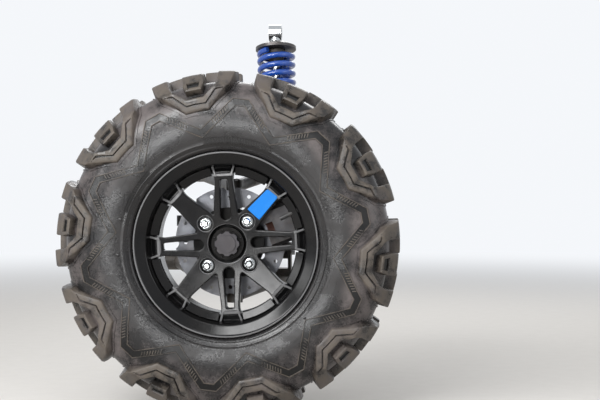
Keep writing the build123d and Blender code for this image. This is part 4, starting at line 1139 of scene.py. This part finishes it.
def build_rim():
    """Barrel, spokes with rounded edges, stud pockets, bands and ears as one shape."""
    form = RimForm()
    shape = Shape()
    around = 240
    # shares of the pale edge colour that are painted on as highlights
    lip_painted_highlight, edge_painted_highlight, bore_painted_highlight, pocket_painted_highlight = 0.35, 0.35, 0.3, 0.25
    profile = [(r, -w) for r, w in form.BARREL]
    # painted highlight: a thin bright line round the lip
    lip = np.repeat([lip_painted_highlight if r > 167 and w > 84.9 else 0.0 for r, w in form.BARREL], around)
    shape.add(*turned(profile, WHEEL_CENTRE, (0, 1, 0), around, closed=True), lip)

    rows, faces = casting(circle(form.PLATE_RADIUS, around), form.openings(), form.front, form.back,
                          form.EDGE, 6, form.bends())
    out = form.along_spoke(rows[:, :2])
    on_face = rows[:, 2] > form.FACE - 2
    # painted highlights on the spokes' steps, round the bore and round the stud pockets
    wear_and_highlight = np.where((out > form.FACE_END - 0.2) & (out < 129.4) & (rows[:, 2] > 50), edge_painted_highlight, 0)
    wear_and_highlight[(np.hypot(rows[:, 0], rows[:, 1]) < form.BORE + 1.15) & on_face] = bore_painted_highlight
    for x, y in form.studs():
        wear_and_highlight[(np.hypot(rows[:, 0] - x, rows[:, 1] - y) < form.POCKET + 1) & on_face] = pocket_painted_highlight
    shape.add(form.world(rows), faces, wear_and_highlight)

    for x, y in form.studs():
        top = float(form.front(np.array([(x, y)]))[0]) - form.EDGE
        bore, cup, skirt = 6.2, form.POCKET, form.POCKET + 2
        floor, back = form.POCKET_FLOOR, form.DISC_BACK
        profile = [(cup, top), (cup, floor + 2), (cup - 1.4, floor), (bore, floor), (bore, back),
                   (skirt, back), (skirt, top - 2)]
        shape.add(*turned(profile, form.world([(x, y, 0)])[0], (0, -1, 0), 40, closed=True))
    first, last = form.BAND_ANGLES
    rows, faces = part_ring(form.BAND, first, last, 24)
    for turn in range(8):
        shape.add(form.world(rows, 45 * turn), faces)
    for angle, half in form.SPOKES:
        for way in (1, -1):
            rows, faces = build_ear(form, half, way)
            # painted highlight on the ears' tops
            wear_and_highlight = np.where(rows[:, 2] > 50, edge_painted_highlight, 0)
            for turn in range(4):
                shape.add(form.world(rows, angle + 90 * turn), faces, wear_and_highlight)
    return shape


def build_plate():
    """The plain painted plate on the upper right spoke, bent to its dish."""
    form = RimForm()
    height, depth, edge, angle = 2.2, 0.6, 1.1, 45
    outline = softened([(72.5, -14.8), (127.2, -12.8), (125.4, 12), (72.5, 14.8)], [1.5, 4.5, 4.5, 1.5])

    def top(flat):
        return form.dish(flat) + height

    def under(flat):
        return form.dish(flat) - depth

    rows, faces = casting(divided(outline, 4), [], top, under, edge, 5, round_outer=True)
    shape = Shape()
    shape.add(form.world(rows, angle), faces)
    return shape


# Fasteners, welds, boots and springs
def wheel_point(angle, radius, out):
    """A point from its angle in degrees, radius and distance outboard in millimetres."""
    turn = math.radians(angle)
    return WHEEL_CENTRE + Vector((radius * math.cos(turn), -out, radius * math.sin(turn))) * MM


def saddle(start, end, tube, axis_point, axis, radius):
    """Closed curve where a tube from start towards end first meets a cylinder round an axis."""
    start, end, axis_point, axis = (np.asarray(value, float) for value in (start, end, axis_point, axis))
    run = (end - start) / np.linalg.norm(end - start)
    axis = axis / np.linalg.norm(axis)
    first, second = across(run)
    curve = []
    for angle in np.linspace(0, 2 * math.pi, 72):
        point = start + tube * (math.cos(angle) * first + math.sin(angle) * second)
        gap = point - axis_point
        gap = gap - (gap @ axis) * axis
        way = run - (run @ axis) * axis
        a, b, c = way @ way, 2 * gap @ way, gap @ gap - radius ** 2
        curve.append(point + run * (-b - math.sqrt(max(b * b - 4 * a * c, 0))) / (2 * a))
    return np.array(curve)


def weld_bead(shape, curve):
    """Rippled bead along a curve."""
    radius, ripple, pitch, samples = 0.0021, 0.16, 0.0032, 4
    lengths = lengths_along(curve)
    ripples = max(8, round(lengths[-1] / pitch))
    at = np.linspace(0, lengths[-1], ripples * samples)
    fine = np.column_stack([np.interp(at, lengths, curve[:, k]) for k in range(3)])
    wave = np.abs(np.sin(np.arange(len(at)) * math.pi / samples))
    shape.add(*tube_along(fine, radius * (1 + ripple * wave), 10))


def arm_welds():
    """Beads where each arm's tubes meet its sleeves, its ball housing and its cross tube."""
    shape = Shape()
    # (way from the knuckle's middle, tube, sleeve, pivots) of each arm
    arms = [(-1, LOWER_TUBE, LOWER_SLEEVE, [(x, 0, 0) for x in (LOWER_SPREAD, -LOWER_SPREAD)]),
            (1, UPPER_TUBE, UPPER_SLEEVE, [(x, UPPER_Y, UPPER_Z) for x in (UPPER_FRONT, UPPER_REAR)])]
    cross = Vector((0, CROSS_Y, CROSS_Z)) * MM
    # how much less than their own radius past the ball the tubes start, and where the cross tube aims
    short, aside = 4, 0.1
    for way, tube, sleeve, pivots in arms:
        ball = KNUCKLE_CENTRE + KINGPIN * way * BALL_HEIGHT * MM
        start = ball + KINGPIN * way * (tube - short) * MM
        for pivot in [Vector(point) * MM for point in pivots]:
            weld_bead(shape, saddle(start, pivot, tube * MM, pivot, (1, 0, 0), sleeve * MM))
            weld_bead(shape, saddle(pivot, start, tube * MM, ball, KINGPIN, BALL_HOUSING * MM))
            if way == -1:
                tip = cross + Vector((math.copysign(aside, pivot.x), 0, 0))
                weld_bead(shape, saddle(cross, tip, CROSS_TUBE * MM, pivot, start - pivot, tube * MM))
    return shape


def coil():
    """Spring wire from its lower seat to its upper one, with a closer coil at each end."""
    low = (SPRING_START + WIRE_RADIUS) * MM
    high = (SHOCK_HEAD - SHOCK_FOOT).length - (SPRING_HEAD_DROP + WIRE_RADIUS) * MM
    end_turns, end_pitch = 0.9, 0.75
    at = np.linspace(0, SPRING_TURNS, round(SPRING_TURNS * 40) + 1)
    speed = np.where((at < end_turns) | (at > SPRING_TURNS - end_turns), end_pitch, 1.0)
    rise = np.concatenate([[0], np.cumsum((speed[1:] + speed[:-1]) / 2)])
    rise = low + (high - low) * rise / rise[-1]
    first, second = across(SHOCK_AXIS)
    angles = at * 2 * math.pi
    around = np.cos(angles)[:, None] * first + np.sin(angles)[:, None] * second
    path = np.asarray(SHOCK_FOOT) + around * SPRING_RADIUS * MM + rise[:, None] * np.asarray(SHOCK_AXIS)
    shape = Shape()
    shape.add(*tube_along(path, WIRE_RADIUS * MM, 20))
    return shape


def bump_stop():
    """Stepped rubber sleeve on the rod, under the spring's upper seat."""
    top = (SHOCK_HEAD - SHOCK_FOOT).length / MM - SPRING_HEAD_DROP - 1
    hole = ROD_RADIUS + 0.3
    # (radius, drop) down the stop, in millimetres
    steps_down = [(hole, 0), (19, 0), (20, 4), (16.5, 9), (18, 14), (15, 19), (16, 24), (12, 31), (hole, 32)]
    shape = Shape()
    shape.add(*turned([(radius, top - drop) for radius, drop in steps_down], SHOCK_FOOT, SHOCK_AXIS, 48,
                      closed=True))
    return shape


def boot(wide_end, narrow_end, wide):
    """Folded cone round the half-shaft from a wide end to the shaft; ends are world y, radii millimetres."""
    folds, depth, wall, narrow = 4, 7.5, 2, SHAFT_RADIUS + 3
    run = (narrow_end - wide_end) / MM
    # (radius, share of the length): the wide collar, the folds and the narrow collar
    half = [(wide - 0.5, 0), (wide + 0.2, 0.02), (wide + 0.2, 0.12)]
    for t in np.linspace(0, 1, folds * 12, endpoint=False):
        crest = wide + (narrow + 4 - wide) * t
        wave = 0.5 - 0.5 * math.cos(2 * math.pi * (t * folds + 0.5))
        half.append((crest - depth * wave * (1 - 0.35 * t), 0.14 + 0.7 * t))
    half += [(narrow + 0.8, 0.87), (narrow + 0.8, 0.99), (narrow - 0.4, 1)]
    inner = [(radius - wall, along) for radius, along in reversed(half)]
    profile = [(radius, run * along) for radius, along in half + inner]
    shape = Shape()
    centre = (WHEEL_CENTRE.x, wide_end, WHEEL_CENTRE.z)
    shape.add(*turned(profile, centre, (0, 1, 0), 72, closed=True))
    return shape


def clamp_band(shape, y, radius, width):
    """Thin steel band round a boot, with its crimped ear; radius and width in millimetres."""
    centre = Vector((WHEEL_CENTRE.x, y, WHEEL_CENTRE.z))
    half = width / 2
    low, high = radius - 0.4, radius + 0.8
    band = [(low, -half), (high, -half), (high, half), (low, half)]
    shape.add(*turned(band, centre, (0, 1, 0), 72, closed=True))
    ear = [(2.6, -half * 0.85), (2.9, -half * 0.6), (2.9, half * 0.6), (2.6, half * 0.85)]
    shape.add(*turned(ear, centre + Vector((0, 0, (radius + 1.2) * MM)), (0, 1, 0), 10))


class CORNER_OT_finishes(bpy.types.Operator):
    """Gives every solid that keeps its own shape the finish of its paint, metal or rubber"""

    bl_idname = "corner.finishes"
    bl_label = "Finishes"

    def execute(self, context):
        finishes = all_finishes(context.scene.corner_finish)
        for part in frame["record"]["subparts"]:
            name = part["material_slot"]
            if name in finishes:
                mesh = frame["nodes"][part["node"]].data
                mesh.materials.clear()
                mesh.materials.append(finishes["hub_black" if part["node"] == "hub" else name])
        return {"FINISHED"}


class CORNER_OT_tyre(bpy.types.Operator):
    """Models the tyre over its solid: lugs with sipes, zigzag bands, ribbed panels and rim guard"""

    bl_idname = "corner.tyre"
    bl_label = "Tyre"

    def execute(self, context):
        settings = context.scene.corner_tyre
        piece = make_piece("tyre_rubber", build_tyre(settings), rubber_tread(settings), "wheel")
        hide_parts("tyre")
        return {"FINISHED"}


class CORNER_OT_wheel(bpy.types.Operator):
    """Models the rim with dished spokes and rounded edges, its plate, and the small heads round the cap"""

    bl_idname = "corner.wheel"
    bl_label = "Rim"

    def execute(self, context):
        rim = make_piece("cast_rim", build_rim(), finish("rim_black"), "wheel", 32)
        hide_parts("rim")
        cover = make_piece("spoke_cover", build_plate(), finish("blue_plate"), "wheel")
        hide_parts("spoke_plate")
        heads = Shape()
        head = [(1.9, -0.3), (1.9, 1.0), (1.2, 1.6), (0.4, 1.8)]
        count, circle_radius, out = 8, 26.4, 45
        for i in range(count):
            centre = wheel_point((i + 0.5) * 360 / count, circle_radius, out)
            heads.add(*turned(head, centre, (0, -1, 0), 14))
        make_piece("hub_heads", heads, finish("rim_black"), "wheel")
        return {"FINISHED"}


class CORNER_OT_brake(bpy.types.Operator):
    """Adds the caliper's two slide bolts"""

    bl_idname = "corner.brake"
    bl_label = "Brake details"

    def execute(self, context):
        bolts = Shape()
        spread, radius, out = 17.5, 88, -40
        for way in (-1, 1):
            bolt(bolts, wheel_point(CALIPER_ANGLE + way * spread, radius, out), (0, 1, 0), 12, 5.5)
        make_piece("caliper_bolts", bolts, finish("zinc_steel"), "knuckle")
        return {"FINISHED"}


class CORNER_OT_suspension(bpy.types.Operator):
    """Models the smooth coil spring, the bump stop on its rod and the weld beads of both arms"""

    bl_idname = "corner.suspension"
    bl_label = "Suspension details"

    def execute(self, context):
        spring = make_piece("coil_spring", coil(), finish("spring_blue"), "suspension", 60)
        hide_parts("spring")
        make_piece("bump_stop", bump_stop(), finish("black_rubber"), "suspension", 50)
        make_piece("weld_beads", arm_welds(), finish("arm_paint"), "suspension", 60)
        return {"FINISHED"}


class CORNER_OT_driveline(bpy.types.Operator):
    """Models both folded boots of the half-shaft with their steel bands"""

    bl_idname = "corner.driveline"
    bl_label = "Half-shaft details"

    def execute(self, context):
        rubber = finish("black_rubber")
        low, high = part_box("outer_boot")
        folds = boot(low.y, high.y, BELL_RADIUS - 0.4)
        piece = make_piece("outer_boot_rubber", folds, rubber, None, 50)
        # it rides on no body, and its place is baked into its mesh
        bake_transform(piece)
        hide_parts("outer_boot")
        low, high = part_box("inner_boot")
        folds = boot(high.y, low.y, INNER_CUP_RADIUS - 0.4)
        piece = make_piece("inner_boot_rubber", folds, rubber, "half_shaft", 50)
        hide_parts("inner_boot")
        bands = Shape()
        clamp_band(bands, high.y - 0.0045, INNER_CUP_RADIUS - 0.2, 7)
        clamp_band(bands, low.y + 0.004, SHAFT_RADIUS + 3.8, 5)
        make_piece("boot_bands", bands, finish("zinc_steel"), "half_shaft")
        return {"FINISHED"}


class CORNER_OT_steering(bpy.types.Operator):
    """Adds the lock nuts at both ends of the tie rod"""

    bl_idname = "corner.steering"
    bl_label = "Tie rod details"

    def execute(self, context):
        low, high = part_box("tie_rod")
        centre = middle("tie_rod")
        nuts = Shape()
        nut = [(8.4, 0), (9.8, 1.2), (9.8, 6), (8.4, 7.2)]
        for y, way in ((low.y, -1), (high.y, 1)):
            end = Vector((centre.x, y - way * 0.001, centre.z))
            nuts.add(*turned(nut, end, (0, way, 0), 6))
        make_piece("lock_nuts", nuts, finish("zinc_steel"), "tie_rod")
        return {"FINISHED"}


class CORNER_OT_stage(bpy.types.Operator):
    """Makes the pale floor and backdrop, soft studio lamps and the camera"""

    bl_idname = "corner.stage"
    bl_label = "Stage"

    # (name, place from the wheel's centre, width, height, power in watts)
    LAMPS = [("side", (2.3, -1.3, 0.7), 1.2, 1.2, 10), ("front", (-0.42, -2.35, 0.19), 0.42, 0.36, 14),
             ("left", (-1.9, -1.88, 0.45), 0.9, 0.5, 9), ("top", (0.1, -1.5, 1.75), 0.7, 0.4, 5),
             ("back", (0.4, 2.2, 1.8), 2.0, 1.2, 40)]
    SKY = (0.91, 0.93, 0.96, 1)

    def execute(self, context):
        scene = context.scene
        settings = scene.corner_stage
        self.floor(scene)
        self.world(scene)
        key = ("key", (-0.95, -1.87, 1.25), 1.7, 0.52, settings.key_power)
        for name, offset, width, height, power in [key] + self.LAMPS:
            lamp = bpy.data.lights.new(name, "AREA")
            lamp.shape = "RECTANGLE"
            lamp.size = width
            lamp.size_y = height
            lamp.energy = power
            holder = bpy.data.objects.new(name, lamp)
            scene.collection.objects.link(holder)
            holder.location = WHEEL_CENTRE + Vector(offset)
            holder.rotation_euler = (-Vector(offset)).to_track_quat("-Z", "Y").to_euler()
        self.camera(scene, settings)
        scene.view_settings.view_transform = "Standard"
        return {"FINISHED"}

    def floor(self, scene):
        """Pale ground that fades into the sky's colour as the camera sees it, with a fine grain."""
        mesh = bpy.data.meshes.new("floor")
        half, fade_start, fade_end = 12, 1.2, 4.5
        square = [(-half, -half, GROUND_Z), (half, -half, GROUND_Z), (half, half, GROUND_Z),
                  (-half, half, GROUND_Z)]
        mesh.from_pydata(square, [], [(0, 1, 2, 3)])
        floor = bpy.data.objects.new("floor", mesh)
        scene.collection.objects.link(floor)
        material, tree, shader = start_material("pale_floor", roughness=0.85, specular_ior_level=0.2)
        coords = place(tree, (0, 0, 0), (1, 1, 0))
        grain = noise(tree, coords, *FLOOR_GRAIN)
        tree.links.new(mix(tree, grain, (0.66, 0.64, 0.61), (0.72, 0.7, 0.67)), shader.inputs["Base Color"])
        distance = add(tree, "VectorMath", {0: coords}, operation="LENGTH").outputs["Value"]
        backdrop = add(tree, "Emission", {"Color": self.SKY, "Strength": 1.0}).outputs[0]
        share = maths(tree, "MULTIPLY", steps(tree, distance, fade_start, fade_end), self.seen(tree))
        blended = add(tree, "MixShader", {0: share, 1: shader.outputs[0], 2: backdrop})
        tree.links.new(blended.outputs[0], tree.nodes["Material Output"].inputs["Surface"])
        mesh.materials.append(material)

    def seen(self, tree):
        """1 for what the camera sees, also in a reflection or through glass."""
        path = add(tree, "LightPath").outputs
        both = maths(tree, "ADD", path["Is Camera Ray"], path["Is Glossy Ray"], clamp=True)
        return maths(tree, "ADD", both, path["Is Transmission Ray"], clamp=True)

    def world(self, scene):
        """Even sky, dimmer as a light than as the camera sees it."""
        world = bpy.data.worlds.new("soft_sky")
        world.use_nodes = True
        scene.world = world
        tree = world.node_tree
        background = tree.nodes["Background"]
        background.inputs["Color"].default_value = self.SKY
        as_light, as_seen = 0.3, 1.0
        strength = add(tree, "MapRange", {"Value": self.seen(tree), "To Min": as_light, "To Max": as_seen})
        tree.links.new(strength.outputs["Result"], background.inputs["Strength"])

    def camera(self, scene, settings):
        """Aims beside the wheel, so that it stands left of the picture's middle and below it."""
        data = bpy.data.cameras.new("camera")
        data.lens = settings.lens
        data.sensor_width = 36
        outboard, aside, above = 0.062, 0.1345, 0.0807
        aim = WHEEL_CENTRE + Vector((0, -outboard, 0))
        camera = bpy.data.objects.new("camera", data)
        scene.collection.objects.link(camera)
        camera.rotation_euler = (math.pi / 2 - settings.elevation, 0, settings.azimuth)
        turn = camera.rotation_euler.to_matrix()
        camera.location = aim + turn @ Vector((aside, above, settings.distance))
        scene.camera = camera


class CORNER_PT_panel(bpy.types.Panel):
    """Lists the steps in the 3D view's sidebar"""

    bl_idname = "CORNER_PT_panel"
    bl_label = "Wheel Corner"
    bl_space_type = "VIEW_3D"
    bl_region_type = "UI"
    bl_category = "Wheel Corner"

    def draw(self, context):
        for operator in OPERATORS:
            self.layout.operator(operator.bl_idname)


OPERATORS = [CORNER_OT_stage, CORNER_OT_finishes, CORNER_OT_tyre, CORNER_OT_wheel, CORNER_OT_brake,
             CORNER_OT_suspension, CORNER_OT_driveline, CORNER_OT_steering]
SETTINGS = {"corner_tyre": TyreSettings, "corner_finish": FinishSettings, "corner_stage": StageSettings}


def register():
    """Makes the settings, the steps and the panel known."""
    for group in [*SETTINGS.values(), *OPERATORS, CORNER_PT_panel]:
        bpy.utils.register_class(group)
    for name, group in SETTINGS.items():
        setattr(bpy.types.Scene, name, PointerProperty(type=group))


def unregister():
    """Takes them away again."""
    for name in SETTINGS:
        delattr(bpy.types.Scene, name)
    for group in reversed([*SETTINGS.values(), *OPERATORS, CORNER_PT_panel]):
        bpy.utils.unregister_class(group)


def main():
    """Runs every step."""
    register()
    for operator in OPERATORS:
        getattr(bpy.ops.corner, operator.bl_idname.split(".")[1])()
    bpy.context.view_layer.update()


if __name__ == "__main__":
    main()
